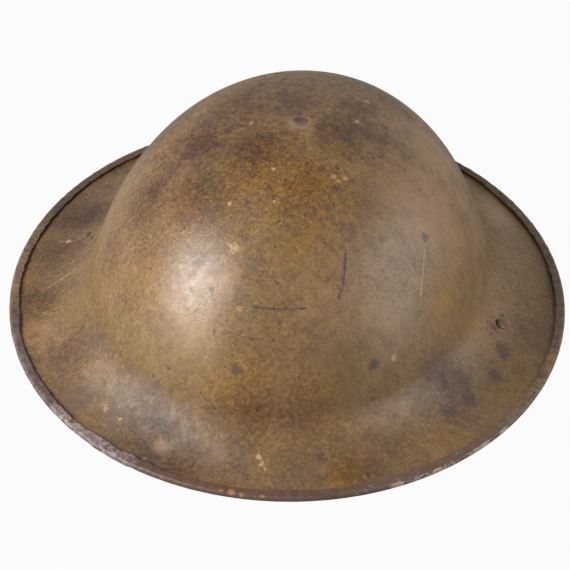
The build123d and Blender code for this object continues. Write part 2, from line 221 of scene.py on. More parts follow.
def brim_curve(share, half, edge_half, drop):
    """Reach and height of the brim at shares of its curve, moved inward by drop, in mm."""
    reach, height = dome_curve(1.0, half, drop)
    steepness = (crown_height + bowl_root_depth - drop) / (half - drop)
    fall = steepness * math.tan(bowl_turn) ** (2 - 2 / bowl_squareness)
    level = level_height + sheet - drop
    end = edge_half - level_edge
    bend = brim_bend_share * (height - level)
    ease = brim_ease_share * (end - reach)
    guides = (
        (reach, height),
        (reach + bend / fall, height - bend),
        (end - ease, level + ease * math.tan(brim_end_fall)),
        (end, level),
    )
    rest = 1 - share
    weights = (rest**3, 3 * rest**2 * share, 3 * rest * share**2, share**3)
    return [sum(w * guide[axis] for w, guide in zip(weights, guides)) for axis in (0, 1)]


def shell_stations(drop, dome_steps, brim_steps):
    """Half width, half length and height of each station from crown to rim, in mm."""
    dome_shares = np.linspace(0.004, 1, dome_steps) ** 1.1
    brim_shares = np.linspace(0, 1, brim_steps + 1)[1:]
    wide, high = dome_curve(dome_shares, bowl_half_width, drop)
    long, high = dome_curve(dome_shares, bowl_half_length, drop)
    brim_wide, brim_high = brim_curve(brim_shares, bowl_half_width, rim_half_width, drop)
    brim_long, brim_high = brim_curve(brim_shares, bowl_half_length, rim_half_length, drop)
    edge = np.array([0.5, 1.0])
    edge_reach = level_edge - shell_inset
    return np.stack([
        np.concatenate([wide, brim_wide, brim_wide[-1] + edge * edge_reach]),
        np.concatenate([long, brim_long, brim_long[-1] + edge * edge_reach]),
        np.concatenate([high, brim_high, brim_high[-1] + 0 * edge]),
    ], axis=1)


def ring_points(stations, turns):
    """A grid of points, stations by turns, in metres."""
    angle = np.arange(turns) * 2 * math.pi / turns
    return mm * np.stack([
        stations[:, :1] * np.cos(angle),
        stations[:, 1:2] * np.sin(angle),
        np.repeat(stations[:, 2:], turns, axis=1),
    ], axis=2)


def grid_normals(grid):
    """The outward direction at each point of a grid of rings."""
    down = np.gradient(grid, axis=0)
    around = np.roll(grid, -1, axis=1) - np.roll(grid, 1, axis=1)
    out = np.cross(down, around)
    return out / np.maximum(np.linalg.norm(out, axis=2, keepdims=True), 1e-12)


def photo_point(pixel, points, outward):
    """The point of a grid that shows at a pixel of the photograph."""
    flat = points.reshape(-1, 3)
    faces_view = ((np.array(view_place) - flat) * outward.reshape(-1, 3)).sum(axis=1) > 0
    miss = np.linalg.norm(photo_pixels(flat) - np.array(pixel), axis=1)
    return flat[np.argmin(np.where(faces_view, miss, 1e9))]


def soft_spot(points, centre, radius):
    """One at a centre, falling to nothing at about twice the radius."""
    away = np.linalg.norm(points - centre, axis=-1)
    return np.exp(-((away / radius) ** 2))


def closed_rings(outer, inner):
    """Faces of a skin with two sides, closed at the rim and at the crown."""
    turns = outer.shape[1]
    points = np.concatenate([outer.reshape(-1, 3), inner.reshape(-1, 3)])
    shift = outer.shape[0] * turns
    column = np.arange(turns)
    beside = (column + 1) % turns
    faces = []
    for rows, start, turned in ((outer.shape[0], 0, False), (inner.shape[0], shift, True)):
        for row in range(rows - 1):
            a = start + row * turns + column
            b = start + row * turns + beside
            quads = np.stack([a, a + turns, b + turns, b], axis=1)
            faces.extend((quads[:, ::-1] if turned else quads).tolist())
    last_outer = (outer.shape[0] - 1) * turns
    last_inner = shift + (inner.shape[0] - 1) * turns
    edge = np.stack([
        last_outer + column, last_inner + column, last_inner + beside, last_outer + beside,
    ], axis=1)
    faces.extend(edge.tolist())
    faces.append(column.tolist())
    faces.append((shift + column[::-1]).tolist())
    return points, faces


def mesh_piece(name, points, faces):
    """A smooth piece of the helmet from its points in metres and its faces."""
    mesh = bpy.data.meshes.new(name)
    mesh.from_pydata(np.asarray(points).tolist(), [], faces)
    mesh.polygons.foreach_set("use_smooth", [True] * len(mesh.polygons))
    mesh.update()
    piece = bpy.data.objects.new(name, mesh)
    bpy.context.scene.collection.objects.link(piece)
    return piece


outer = ring_points(shell_stations(0, 150, 60), shell_turns)
inner = ring_points(shell_stations(sheet, 60, 30), shell_turns)
outward = grid_normals(outer)

# Dents, each with its radius and depth in mm: a dimple in a slight swell round the crown
# rivet, and hollows at the side rivets. Slow waves over the whole sheet are what a
# century of knocks leaves.
left_rivet_pixel, right_rivet_pixel = (83.5, 236), (500, 320)
right_crack_pixel = (494, 326)
dents = [
    (Vector((0, 0, crown_height * mm)), 7.0, 0.6),
    (Vector((0, 0, crown_height * mm)), 16.0, -0.25),
    (photo_point(left_rivet_pixel, outer, outward), 5.5, 0.35),
    (photo_point(right_rivet_pixel, outer, outward), 5.5, 0.35),
    (photo_point(right_crack_pixel, outer, outward), 2.6, 0.35),
]
rng = np.random.default_rng(7)
wave_count, wave_steepness = 9, 0.0022


def unevenness(points):
    """Slow waves in the sheet, as the sum of a few turned sines, in metres."""
    waves = np.zeros(points.shape[:-1])
    for turn in range(wave_count):
        facing = rng.normal(size=3)
        facing /= np.linalg.norm(facing)
        length = rng.uniform(0.035, 0.11)
        start = rng.uniform(0, 2 * math.pi)
        waves += length * np.sin(points @ facing * 2 * math.pi / length + start)
    return waves * wave_steepness / wave_count


def press(points, normals, waves):
    """Points of the sheet moved by the dents and the waves."""
    for centre, radius, depth in dents:
        hollow = soft_spot(points, np.array(centre), radius * mm)
        points = points - normals * (hollow * depth * mm)[..., None]
    return points + normals * waves[..., None]


base_outer = outer.copy()
outer = press(outer, outward, unevenness(outer))
rng = np.random.default_rng(7)
inner = press(inner, grid_normals(inner), unevenness(inner))
shell_points, shell_faces = closed_rings(outer, inner)
shell = mesh_piece("painted_shell", shell_points, shell_faces)


# Marks on the paint that the photograph shows, each as its pixel, its radius in mm and
# its strength: pale chips, dark stains, rust rings, ochre patches, patches where the paint
# is made darker, pale grey patches that are partly dust and partly painted sheen, and where
# the paint has dulled to a purplish brown. A scratch has its pixels, its width and its
# strength, which is below zero where the scratch is dark.
chips = (
    (235, 249, 3.4, 1.0), (227, 242, 1.6, 0.7), (241, 257, 1.5, 0.6), (243, 125, 2.2, 0.8),
    (246, 135, 1.2, 1.2), (393, 358, 1.8, 1.3), (380, 343, 3.0, 0.5), (258, 458, 1.5, 1.1),
    (259, 464, 1.2, 1.0), (105, 408, 3.0, 0.6), (119, 421, 2.2, 0.7), (112, 414, 2.0, 0.4),
    (73, 262, 0.9, 1.0), (68, 242, 1.0, 1.0), (345, 178, 1.8, 1.0), (366, 102, 2.6, 0.9),
    (358, 122, 2.4, 0.85), (268, 84, 1.3, 0.7), (273, 170, 1.6, 1.1), (230, 204, 1.5, 1.1),
    (239, 310, 2.2, 0.75), (131, 470, 1.2, 0.9), (417, 160, 0.9, 0.9), (500, 232, 1.1, 0.7),
    (505, 238, 1.0, 0.7), (532, 314, 1.1, 0.8), (509, 323, 1.5, 0.95), (512, 330, 1.3, 0.95),
    (506, 332, 1.0, 0.9), (69, 241, 1.0, 1.0), (377, 403, 1.2, 0.7), (203, 450, 1.2, 0.7),
    (385, 270, 1.0, 0.4), (422, 295, 1.2, 0.8), (252, 123, 2.0, 0.85), (274, 202, 1.2, 1.0),
    (333, 176, 2.4, 0.85), (339, 181, 1.4, 1.0), (227, 170, 1.2, 0.5), (208, 168, 1.1, 0.5),
    (287, 96, 1.0, 0.5), (143, 458, 1.5, 0.6),
)
stains = (
    (262, 85, 6.0, 0.9), (322, 170, 2.0, 1.1), (337, 168, 1.6, 1.1), (335, 188, 3.0, 1.0),
    (358, 103, 4.0, 0.8), (357, 128, 4.5, 0.9), (350, 142, 2.6, 0.8), (425, 238, 3.2, 1.0),
    (375, 365, 3.4, 1.2), (237, 372, 3.4, 1.1), (503, 350, 5.6, 1.05), (504, 358, 3.0, 1.0),
    (495, 375, 5.2, 0.95), (470, 400, 5.6, 0.95), (448, 412, 5.6, 0.9), (212, 290, 1.6, 1.3),
    (192, 289, 1.4, 1.3), (213, 332, 1.7, 0.9), (247, 203, 2.4, 0.8), (258, 194, 2.0, 0.6),
    (395, 132, 4.5, 0.6), (404, 145, 2.2, 0.8), (388, 148, 2.4, 0.5), (432, 172, 2.0, 0.6),
    (320, 480, 3.0, 0.8), (349, 496, 2.6, 0.8), (368, 474, 2.4, 0.8), (322, 458, 3.4, 0.9),
    (373, 398, 2.4, 0.7), (498, 321, 1.4, 1.6), (494, 327, 2.6, 1.1), (491, 333, 1.6, 1.0),
    (92, 238, 3.0, 1.25), (84, 246, 3.4, 1.0), (74, 240, 2.2, 0.8), (502, 316, 2.0, 1.0),
    (487, 322, 1.4, 0.8), (455, 250, 2.2, 0.6), (217, 180, 2.6, 0.5), (277, 245, 3.0, 0.5),
    (430, 440, 3.0, 0.6), (478, 440, 3.6, 0.7), (405, 455, 3.0, 0.5), (412, 470, 2.6, 0.6),
    (300, 352, 1.2, 0.5), (318, 356, 1.4, 0.5), (291, 346, 1.3, 0.5), (382, 310, 1.6, 0.5),
    (364, 118, 2.6, 1.0), (349, 117, 2.2, 0.9), (368, 137, 2.4, 0.9), (340, 131, 1.7, 0.8),
    (385, 128, 3.4, 0.8), (378, 156, 1.7, 0.8), (330, 110, 1.6, 0.6), (310, 104, 1.4, 0.6),
    (420, 190, 1.7, 0.7), (405, 170, 1.8, 0.7), (345, 155, 1.6, 0.8), (325, 145, 1.4, 0.7),
)
rust = (
    (163, 446, 1.5, 0.9), (220, 453, 4.6, 0.7), (509, 328, 4.4, 1.1), (497, 318, 4.6, 0.6),
    (83.5, 236, 3.4, 0.8), (88, 243, 4.0, 0.7), (300, 122, 3.4, 0.9), (185, 168, 6.0, 0.4),
)
ochre = (
    (300, 185, 20.0, 0.9), (270, 170, 16.0, 0.8), (240, 180, 14.0, 0.6), (240, 392, 16.0, 0.7),
    (320, 395, 18.0, 0.5), (300, 230, 16.0, 0.5), (25, 280, 5.0, 1.2), (340, 480, 12.0, 0.6),
    (445, 300, 18.0, 0.8), (458, 245, 16.0, 0.7), (150, 270, 14.0, 0.5), (180, 200, 14.0, 0.5),
    (470, 330, 10.0, 0.4),
)
# Soft patches where the paint is made darker and browner.
darkened_patches = (
    (165, 130, 34.0, 0.7), (200, 145, 36.0, 0.8), (240, 105, 30.0, 0.8), (300, 90, 28.0, 0.6),
    (110, 190, 26.0, 0.6), (60, 250, 26.0, 0.8), (40, 300, 20.0, 0.8), (85, 218, 24.0, 1.0),
    (78, 345, 30.0, 0.6), (120, 165, 22.0, 0.8), (520, 290, 24.0, 0.3), (200, 190, 28.0, 0.8),
    (250, 150, 28.0, 0.8), (300, 165, 18.0, 0.4), (150, 200, 26.0, 0.8), (125, 300, 24.0, 0.4),
    (112, 372, 16.0, 0.6), (250, 300, 22.0, 0.3), (260, 350, 30.0, 0.4), (340, 130, 22.0, 0.6),
    (300, 465, 30.0, 0.4), (150, 240, 26.0, 0.5), (250, 410, 24.0, 0.7), (300, 410, 24.0, 0.6),
    (345, 100, 22.0, 0.5), (220, 470, 20.0, 0.4), (355, 466, 20.0, 0.7), (180, 465, 16.0, 0.8),
    (105, 215, 22.0, 0.9), (80, 200, 20.0, 0.6), (112, 255, 18.0, 0.6), (140, 425, 20.0, 0.7),
    (110, 405, 16.0, 0.5), (60, 300, 20.0, 0.3), (40, 260, 14.0, 0.3), (300, 190, 26.0, 0.5),
    (440, 395, 24.0, 0.5), (385, 438, 20.0, 0.5), (150, 440, 24.0, 0.8), (285, 290, 20.0, 0.3),
)
# Pale grey patches: partly dust, and partly painted sheen and painted highlight where the lamps
# glance off the dome.
dust_and_sheen = (
    (430, 150, 26.0, 1.0), (460, 195, 20.0, 0.5), (375, 415, 18.0, 0.4), (430, 240, 24.0, 0.5),
    (475, 230, 22.0, 0.4), (320, 310, 24.0, 0.3), (100, 380, 14.0, 0.4), (163, 446, 4.6, 0.8),
    (190, 318, 20.0, 0.6), (215, 280, 11.0, 0.9), (50, 330, 14.0, 0.5), (425, 210, 30.0, 1.1),
    (500, 215, 18.0, 0.8), (300, 122, 6.5, 0.8), (392, 332, 18.0, 0.6),
)
dulled = (
    (108, 430, 22.0, 0.8), (75, 400, 20.0, 0.9), (155, 452, 22.0, 0.8), (55, 360, 16.0, 0.7),
    (142, 412, 20.0, 1.0), (220, 465, 20.0, 0.6), (300, 472, 20.0, 0.5), (480, 420, 24.0, 0.5),
    (525, 330, 18.0, 0.5), (85, 350, 20.0, 0.6), (290, 100, 20.0, 0.5), (350, 112, 20.0, 0.7),
    (230, 120, 20.0, 0.4), (200, 160, 20.0, 0.4), (390, 465, 18.0, 0.5), (85, 215, 22.0, 0.9),
    (60, 245, 16.0, 0.5), (178, 440, 20.0, 0.9), (200, 456, 18.0, 0.7), (102, 368, 12.0, 0.6),
    (65, 270, 26.0, 0.7), (450, 378, 22.0, 0.9),
)
scratches = (
    (((42, 290), (58, 281), (75, 270)), 0.9, 0.8),
    (((425, 250), (423, 270), (421, 292)), 0.55, 1.3),
    (((60, 241), (68, 242), (76, 240)), 0.8, 0.7),
    (((253, 308), (276, 309), (306, 309)), 0.45, -1.35),
    (((345, 254), (346, 268), (343, 284), (338, 298)), 0.45, -1.75),
    (((258, 453), (262, 462), (266, 470)), 0.7, 0.8),
)


def painted_marks(points, marks):
    """How strongly a table of marks covers each point."""
    amount = np.zeros(len(points))
    for across, down, radius, strength in marks:
        centre = photo_point((across, down), base_outer, outward)
        amount = np.maximum(amount, strength * soft_spot(points, centre, radius * mm))
    return amount


def painted_lines(points, lines, sign):
    """How strongly the pale scratches, sign 1, or the dark ones, -1, cover each point."""
    amount = np.zeros(len(points))
    for pixels, width, strength in lines:
        if strength * sign <= 0:
            continue
        stops = [photo_point(pixel, base_outer, outward) for pixel in pixels]
        for start, end in zip(stops, stops[1:]):
            along = end - start
            share = np.clip((points - start) @ along / (along @ along), 0, 1)
            away = np.linalg.norm(points - start - share[:, None] * along, axis=1)
            line = abs(strength) * np.exp(-((away / (width * mm)) ** 2))
            amount = np.maximum(amount, line)
    return amount


outer_count = base_outer.shape[0] * shell_turns
marks_at = shell_points[:outer_count]


def mark_layer(name, red, green, blue):
    """A layer of the shell's points that holds three sorts of marks."""
    layer = shell.data.color_attributes.new(name, "FLOAT_COLOR", "POINT")
    values = np.zeros((len(shell_points), 4), np.float32)
    values[:, 3] = 1
    for channel, amount in enumerate((red, green, blue)):
        values[:outer_count, channel] = amount
    layer.data.foreach_set("color", values.ravel())


mark_layer(
    "marks",
    painted_marks(marks_at, chips) + painted_lines(marks_at, scratches, 1),
    painted_marks(marks_at, stains) + painted_lines(marks_at, scratches, -1),
    painted_marks(marks_at, rust),
)
mark_layer(
    "patches", painted_marks(marks_at, ochre), painted_marks(marks_at, darkened_patches),
    painted_marks(marks_at, dust_and_sheen),
)
mark_layer("veil", painted_marks(marks_at, dulled), 0, 0)


def new_material(name):
    """An empty material, its tree and the object's own coordinates in it."""
    material = bpy.data.materials.new(name)
    material.use_nodes = True
    tree = material.node_tree
    tree.nodes.clear()
    return material, tree, node(tree, "TexCoord").outputs["Object"]


def coats(tree, colour, layers):
    """A colour with layers over it, each given as its pattern, the value where it begins,
    the value where it is full, the most that it covers, and its colour."""
    for pattern, begins, full, most, shade in layers:
        cover = node(tree, "MapRange", {
            "Value": pattern, "From Min": begins, "From Max": full, "To Max": most,
        })
        colour = node(tree, "Mix", {0: cover, 6: colour, 7: shade}, data_type="RGBA")
    return colour


def varied(tree, value, pattern, low, high, least, most):
    """A value made uneven: as the pattern goes from low to high, least to most is added."""
    uneven = node(tree, "MapRange", {
        "Value": pattern, "From Min": low, "From Max": high, "To Min": least, "To Max": most,
    })
    return node(tree, "Math", {0: value, 1: uneven})


def finish_material(tree, colour, roughness, relief, depth, metal=0.0, strength=0.5):
    """The surface of a material, its relief given with a depth in mm."""
    bump = node(tree, "Bump", {"Height": relief, "Strength": strength, "Distance": depth * mm})
    skin = node(tree, "BsdfPrincipled", {
        "Base Color": colour, "Roughness": roughness, "Metallic": metal, "IOR": 1.5,
        "Normal": bump,
    })
    node(tree, "OutputMaterial", {"Surface": skin})


# Aged brushed oil paint on steel: satin, uneven in colour, worn thin on the crown.
# The eye sees olive brown with ochre where it is thick, purplish brown where the
# primer shows, small dark pits and pale chips, and soft broad reflections.
paint, tree, place = new_material("aged olive brown oil paint")
shifted = node(tree, "VectorMath", {0: place, 1: (0.7, 0.3, 0.9)})
brushed = node(tree, "Mapping", {"Vector": place, "Scale": (1.0, 1.0, 0.22)})
broad, patch, streak, mottle, speck, grain = [
    node(tree, "TexNoise", {
        "Vector": where, "Scale": 1 / (size * mm), "Detail": detail, "Roughness": rough,
        "Distortion": bend,
    })
    for where, size, detail, rough, bend in (
        (place, 34, 5.0, 0.6, 0.0), (shifted, 15, 5.0, 0.65, 0.4), (brushed, 3.2, 3.0, 0.6, 0.0),
        (place, 4.5, 4.0, 0.7, 0.0), (shifted, 1.9, 3.0, 0.65, 0.0), (place, 1.2, 3.0, 0.7, 0.0),
    )
]
marks, patches, veil = [
    node(tree, "SeparateColor", {0: node(tree, "VertexColor", layer_name=name)})
    for name in ("marks", "patches", "veil")
]
chipped, stained, rusted = marks.outputs
thickened, darkened_at, dust_and_sheen_marks = patches.outputs

olive, tan, ochre_paint = linear("#7A5F36"), linear("#90704A"), linear("#A47629")
primer, dark_stain, pit = linear("#664A42"), linear("#523F3A"), linear("#2A211C")
chip_pale, rust_brown, dust_and_sheen_grey = linear("#C2A070"), linear("#7B584C"), linear("#C19B7A")

# The layers that wear brought out cover most at the crown and least near the brim
wear_low, wear_high, wear_least = 50 * mm, 100 * mm, 0.32
worn_high = node(tree, "MapRange", {
    "Value": node(tree, "SeparateXYZ", {0: place}).outputs["Z"],
    "From Min": wear_low, "From Max": wear_high, "To Min": wear_least, "To Max": 1.0,
})
most_bare, most_blotch, most_fleck, most_speck, most_grain = [
    node(tree, "Math", {0: worn_high, 1: share, 2: least}, operation="MULTIPLY_ADD")
    for share, least in ((0.75, 0.0), (0.6, 0.0), (0.48, 0.0), (0.5, 0.0), (0.6, 0.09))
]
thick = node(tree, "MapRange", {
    "Value": node(tree, "Math", {0: thickened, 1: broad}), "From Min": 0.5, "From Max": 1.3,
})
colour = coats(tree, olive, (
    # broad patches of tan, and ochre where the paint is thick
    (broad, 0.4, 0.6, 1.0, tan),
    (patch, 0.4, 0.56, thick, ochre_paint),
    # worn to the primer, and the brush's pale and dark streaks
    (patch, 0.5, 0.68, most_bare, primer),
    (streak, 0.45, 0.68, 0.3, linear("#9C7F5C")),
    (streak, 0.45, 0.3, 0.3, linear("#5E4632")),
    # blotches of primer, ochre flecks, then dark and pale specks and grain
    (mottle, 0.5, 0.64, most_blotch, primer),
    (mottle, 0.45, 0.35, most_fleck, linear("#A87A38")),
    (speck, 0.59, 0.7, most_speck, dark_stain),
    (speck, 0.4, 0.31, 0.35, linear("#B08A55")),
    (grain, 0.55, 0.67, most_grain, linear("#453328")),
    (grain, 0.43, 0.32, 0.4, linear("#BC9A6C")),
))

# Where the paint has dulled it is also rougher, as is set with the relief below
dulled_edge = varied(tree, veil.outputs["Red"], patch, 0.35, 0.65, -0.3, 0.25)
dull_brown = coats(tree, linear("#6E5A4A"), ((mottle, 0.4, 0.6, 1.0, linear("#5E4C44")),))
colour = coats(tree, colour, ((dulled_edge, 0.1, 1.0, 0.8, dull_brown),))

# Pits of two sizes, each an uneven dark dot in some of the cells of a random pattern,
# denser where the paint is made darker
pit_bend, pit_dark = 1.6 * mm, 0.6
bent = node(tree, "TexNoise", {"Vector": place, "Scale": 1 / (1.5 * mm), "Detail": 2.0})
bent = node(tree, "VectorMath", {
    0: bent.outputs["Color"], 1: (pit_bend, pit_bend, pit_bend), 2: shifted,
}, operation="MULTIPLY_ADD")
darkening = varied(tree, darkened_at, broad, 0.3, 0.7, -0.2, 0.2)
darkening = varied(tree, darkening, speck, 0.3, 0.7, -0.3, 0.3)
for size, share, dot in ((6.5, 0.34, 0.09), (2.6, 0.26, 0.13)):
    cells = node(tree, "TexVoronoi", {"Vector": bent, "Scale": 1 / (size * mm)})
    chance = node(tree, "SeparateColor", {0: cells.outputs["Color"]})
    chosen = node(tree, "Math", {
        0: darkening, 1: -0.3, 2: chance.outputs["Red"],
    }, operation="MULTIPLY_ADD")
    kept = node(tree, "MapRange", {
        "Value": chosen, "From Min": share, "From Max": share - 0.1, "To Max": pit_dark,
    })
    width = node(tree, "MapRange", {
        "Value": chance.outputs["Green"], "To Min": dot * 0.5, "To Max": dot * 1.6,
    })
    past_edge = node(tree, "Math", {0: cells.outputs["Distance"], 1: width}, operation="SUBTRACT")
    colour = coats(tree, colour, ((past_edge, 0.05, -0.05, kept, pit),))

# The brown that multiplies the paint where it is made darker
darkening_tint = coats(tree, linear("#94704C"), ((patch, 0.4, 0.6, 1.0, linear("#7E5E46")),))
darkened_paint = node(tree, "Mix", {
    0: 1.0, 6: colour, 7: darkening_tint,
}, data_type="RGBA", blend_type="MULTIPLY")
dust_and_sheen_cover = varied(tree, dust_and_sheen_marks, patch, 0.35, 0.65, 0.15, -0.25)
rust_edge = varied(tree, rusted, mottle, 0.3, 0.7, -0.25, 0.25)
rust_colour = coats(tree, rust_brown, ((speck, 0.4, 0.6, 1.0, linear("#97705F")),))
stain_edge = varied(tree, stained, speck, 0.3, 0.7, -0.28, 0.22)
chip_edge = varied(tree, chipped, speck, 0.35, 0.65, -0.35, 0.3)
chip_edge = varied(tree, chip_edge, grain, 0.3, 0.7, -0.4, 0.3)
colour = coats(tree, colour, (
    # darker and browner over the patches listed above
    (darkening, 0.15, 1.0, 0.85, darkened_paint),
    # pale grey over the paint: partly dust, partly painted sheen
    (dust_and_sheen_cover, 0.1, 1.0, 0.5, dust_and_sheen_grey),
    (rust_edge, 0.25, 0.6, 0.8, rust_colour),
    (stain_edge, 0.3, 0.75, 0.75, dark_stain),
    (stain_edge, 1.05, 1.4, 1.0, pit),
    (chip_edge, 0.45, 0.8, 0.8, chip_pale),
))

# A satin roughness, and a shallow relief of brush streaks, specks and grain
dull = node(tree, "MapRange", {
    "Value": dulled_edge, "From Min": 0.1, "From Max": 1.0, "To Max": 0.24,
})
dull = varied(tree, dull, mottle, 0.35, 0.7, 0.32, 0.47)
relief = node(tree, "MapRange", {"Value": grain, "From Min": 0.3, "From Max": 0.7})
for pattern, height in ((speck, 0.8), (streak, 1.2)):
    relief = node(tree, "Math", {0: pattern, 1: height, 2: relief}, operation="MULTIPLY_ADD")
finish_material(tree, colour, dull, relief, 0.12, strength=0.35)
shell.data.materials.append(paint)
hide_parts("shell")
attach(shell, "root")


# Rim: a strip of the same steel folded over the brim's edge, its ends butted at the
# front left. Its inner edges waver, and the worn stretch beside the joint is knocked
# a little upward, so that it faces the light.
def facing_out(piece):
    """Turn every face of a closed piece to look outward."""
    form = bmesh.new()
    form.from_mesh(piece.data)
    bmesh.ops.recalc_face_normals(form, faces=form.faces)
    form.to_mesh(piece.data)
    form.free()
    return piece


def sleeve(rows, closed=False):
    """Points and faces of a skin over closed outlines in a row, joined up or capped."""
    rows = np.asarray(rows)
    count, columns = rows.shape[:2]
    row = np.arange(count if closed else count - 1)[:, None]
    column = np.arange(columns)
    beside = (column + 1) % columns
    below = (row + 1) % count
    quads = np.stack([
        row * columns + column, row * columns + beside,
        below * columns + beside, below * columns + column,
    ], axis=2).reshape(-1, 4).tolist()
    if not closed:
        quads.append(column.tolist())
        quads.append(((count - 1) * columns + column).tolist())
    return rows.reshape(-1, 3), quads


def joined(parts):
    """Several meshes, each as points and faces, as one."""
    points, faces, start = [], [], 0
    for some, cells in parts:
        points.append(np.asarray(some))
        faces.extend([[start + corner for corner in cell] for cell in cells])
        start += len(some)
    return np.concatenate(points), faces


def closed_piece(name, parts):
    """One piece from several closed meshes, all of them facing out."""
    points, faces = joined(parts)
    return facing_out(mesh_piece(name, points, faces))


def arc(across, up, radius, start, end, steps):
    """Points of an arc in a plane, from one angle in degrees to another."""
    angle = np.radians(np.linspace(start, end, steps + 1))
    return np.stack([across + radius * np.cos(angle), up + radius * np.sin(angle)], axis=1)


rim_sheet, rim_flange, rim_fold, rim_joint = 1.0, 5.0, 1.4, 0.4
rim_height = 2 * level_height + sheet
rim_joint_turn = 205.4
rim_steps = 900
worn_start, worn_end = 206.5, 256.3
beaten_start, beaten_end = 245.4, 254.8
raised_start, raised_end = 232, 252

fold_outline = np.concatenate([
    [(rim_flange, 0), (rim_flange - 1, 0)],
    arc(rim_fold, rim_fold, rim_fold, 270, 180, 6),
    arc(rim_fold, rim_height - rim_fold, rim_fold, 180, 90, 6),
    [(2.4, rim_height), (3.4, rim_height), (4.3, rim_height)],
    arc(rim_flange - 0.4, rim_height - 0.4, 0.4, 90, 0, 3),
    [(rim_flange, rim_height - rim_sheet)],
    [(3.0, rim_height - rim_sheet)],
    arc(rim_sheet + 0.5, rim_height - rim_sheet - 0.5, 0.5, 90, 180, 3),
    arc(rim_sheet + 0.5, rim_sheet + 0.5, 0.5, 180, 270, 3),
    [(3.0, rim_sheet), (rim_flange, rim_sheet)],
])


def eased(value, low, high):
    """Zero below low, one above high, and a smooth rise between them."""
    share = np.clip((value - low) / (high - low), 0, 1)
    return share * share * (3 - 2 * share)


def zone(turn, start, end, soft):
    """One between two turns round the rim, in degrees, with soft ends."""
    return eased(turn, start - soft, start + soft) * (1 - eased(turn, end - soft, end + soft))


def slow_waves(turn, low, high, seed):
    """A sum of a few whole waves round the rim, between about -1 and 1."""
    pick = np.random.default_rng(seed)
    total = np.zeros_like(turn)
    for wave in range(low, high):
        start = pick.uniform(0, 2 * math.pi)
        total += np.sin(np.radians(turn) * wave + start) / (high - low) ** 0.5
    return total


half_gap = math.degrees(rim_joint / 2 / rim_half_width)
rim_turns = np.linspace(rim_joint_turn + half_gap, rim_joint_turn + 360 - half_gap, rim_steps)
raised = zone(rim_turns, raised_start, raised_end, 7)
waver = 0.28 * slow_waves(rim_turns, 9, 30, 3) + 0.14 * slow_waves(rim_turns, 60, 150, 4)
waver = waver - 0.6 * zone(rim_turns, 208, 244, 3)
beaten = zone(rim_turns, beaten_start, beaten_end, 0.35)
knocks = 0.035 * slow_waves(rim_turns, 30, 120, 6) * (0.6 + zone(rim_turns, 206, 262, 4))
inset = fold_outline[None, :, 0] + np.zeros((rim_steps, 1))
up = fold_outline[None, :, 1] + np.zeros((rim_steps, 1))
inner_share = np.clip((inset - rim_fold) / (rim_flange - rim_fold), 0, 1)
top_side = up > rim_height / 2
inset = inset + inner_share * (waver[:, None] + np.where(top_side, 0.5 * beaten[:, None], 0))
inset = inset + (knocks - 0.35 * beaten)[:, None]
buckled = 0.22 * slow_waves(rim_turns, 12, 40, 5)
hammered = 0.12 * slow_waves(rim_turns, 70, 190, 9) + 0.25 * beaten
up = up + np.where(top_side, inner_share * buckled[:, None] + hammered[:, None], 0)
up = up + np.where(top_side, 0.5 * raised[:, None] * (inner_share - 0.35), 0)
angle = np.radians(rim_turns)[:, None]
rim_grid = mm * np.stack([
    (rim_half_width - inset) * np.cos(angle), (rim_half_length - inset) * np.sin(angle),
    np.clip(up, 0, None),
], axis=2)
rim_strip = closed_piece("folded_rim_strip", [sleeve(rim_grid)])

# Wear on the strip: bare steel beside the joint, rust at the front, and small chips.
# Layer "wear" holds these three. Layer "smooth_paint" holds where the paint is sound,
# and where the chips are whitish and not ochre.
rim_at = rim_grid.reshape(-1, 3)
rim_turn_at = np.repeat(rim_turns % 360, len(fold_outline))
rim_chips = (
    (16, 287, 2.6, 1.1), (19, 278, 2.0, 0.9), (24, 270, 1.4, 0.8), (28, 262, 1.2, 0.7),
    (12, 300, 0.8, 0.7), (551, 358, 3.0, 1.1), (549, 368, 2.2, 0.9), (554, 350, 1.3, 0.8),
    (131, 470, 1.0, 1.2), (94, 455, 1.2, 0.8), (231, 491, 2.4, 1.0), (205, 488, 2.0, 1.0),
    (241, 495, 1.6, 1.0), (221, 490, 1.3, 0.9), (262, 496, 1.6, 0.9), (196, 488, 1.2, 0.9),
    (66, 202, 0.9, 0.7), (505, 196, 0.9, 0.6), (462, 160, 0.8, 0.6),
)
rim_chip = np.zeros(len(rim_at))
rim_outward = np.concatenate([np.cos(angle), np.sin(angle), 0 * angle + 1], axis=1)[:, None, :]
rim_outward = np.repeat(rim_outward, len(fold_outline), axis=1)
for across, down, radius, strength in rim_chips:
    centre = photo_point((across, down), rim_grid, rim_outward)
    rim_chip = np.maximum(rim_chip, strength * soft_spot(rim_at, centre, radius * mm))
pick = np.random.default_rng(11)
chip_count = 60
for turn, height, radius in zip(
    pick.uniform(10, 330, chip_count),
    pick.uniform(0, 1, chip_count),
    pick.uniform(0.5, 1.3, chip_count),
):
    centre = mm * np.array([
        rim_half_width * math.cos(math.radians(turn)),
        rim_half_length * math.sin(math.radians(turn)),
        rim_height * height,
    ])
    rim_chip = np.maximum(rim_chip, 0.75 * soft_spot(rim_at, centre, radius * mm))
outer_fold = np.tile(np.exp(-((fold_outline[:, 0] / 0.9) ** 2)), rim_steps)
low_edge = zone(rim_turn_at, 305, 336, 3) * outer_fold
low_edge = low_edge * (0.75 + 0.3 * slow_waves(rim_turn_at, 30, 90, 12))
bare_steel = zone(rim_turn_at, worn_start, worn_end, 1.2)
bare_steel = bare_steel * (0.7 + 0.3 * zone(rim_turn_at, 234, beaten_end, 3))
rusty = zone(rim_turn_at, 264, 288, 9) + 0.35 * zone(rim_turn_at, 288, 338, 4)
rusty = rusty + 0.2 * slow_waves(rim_turn_at, 7, 19, 8)
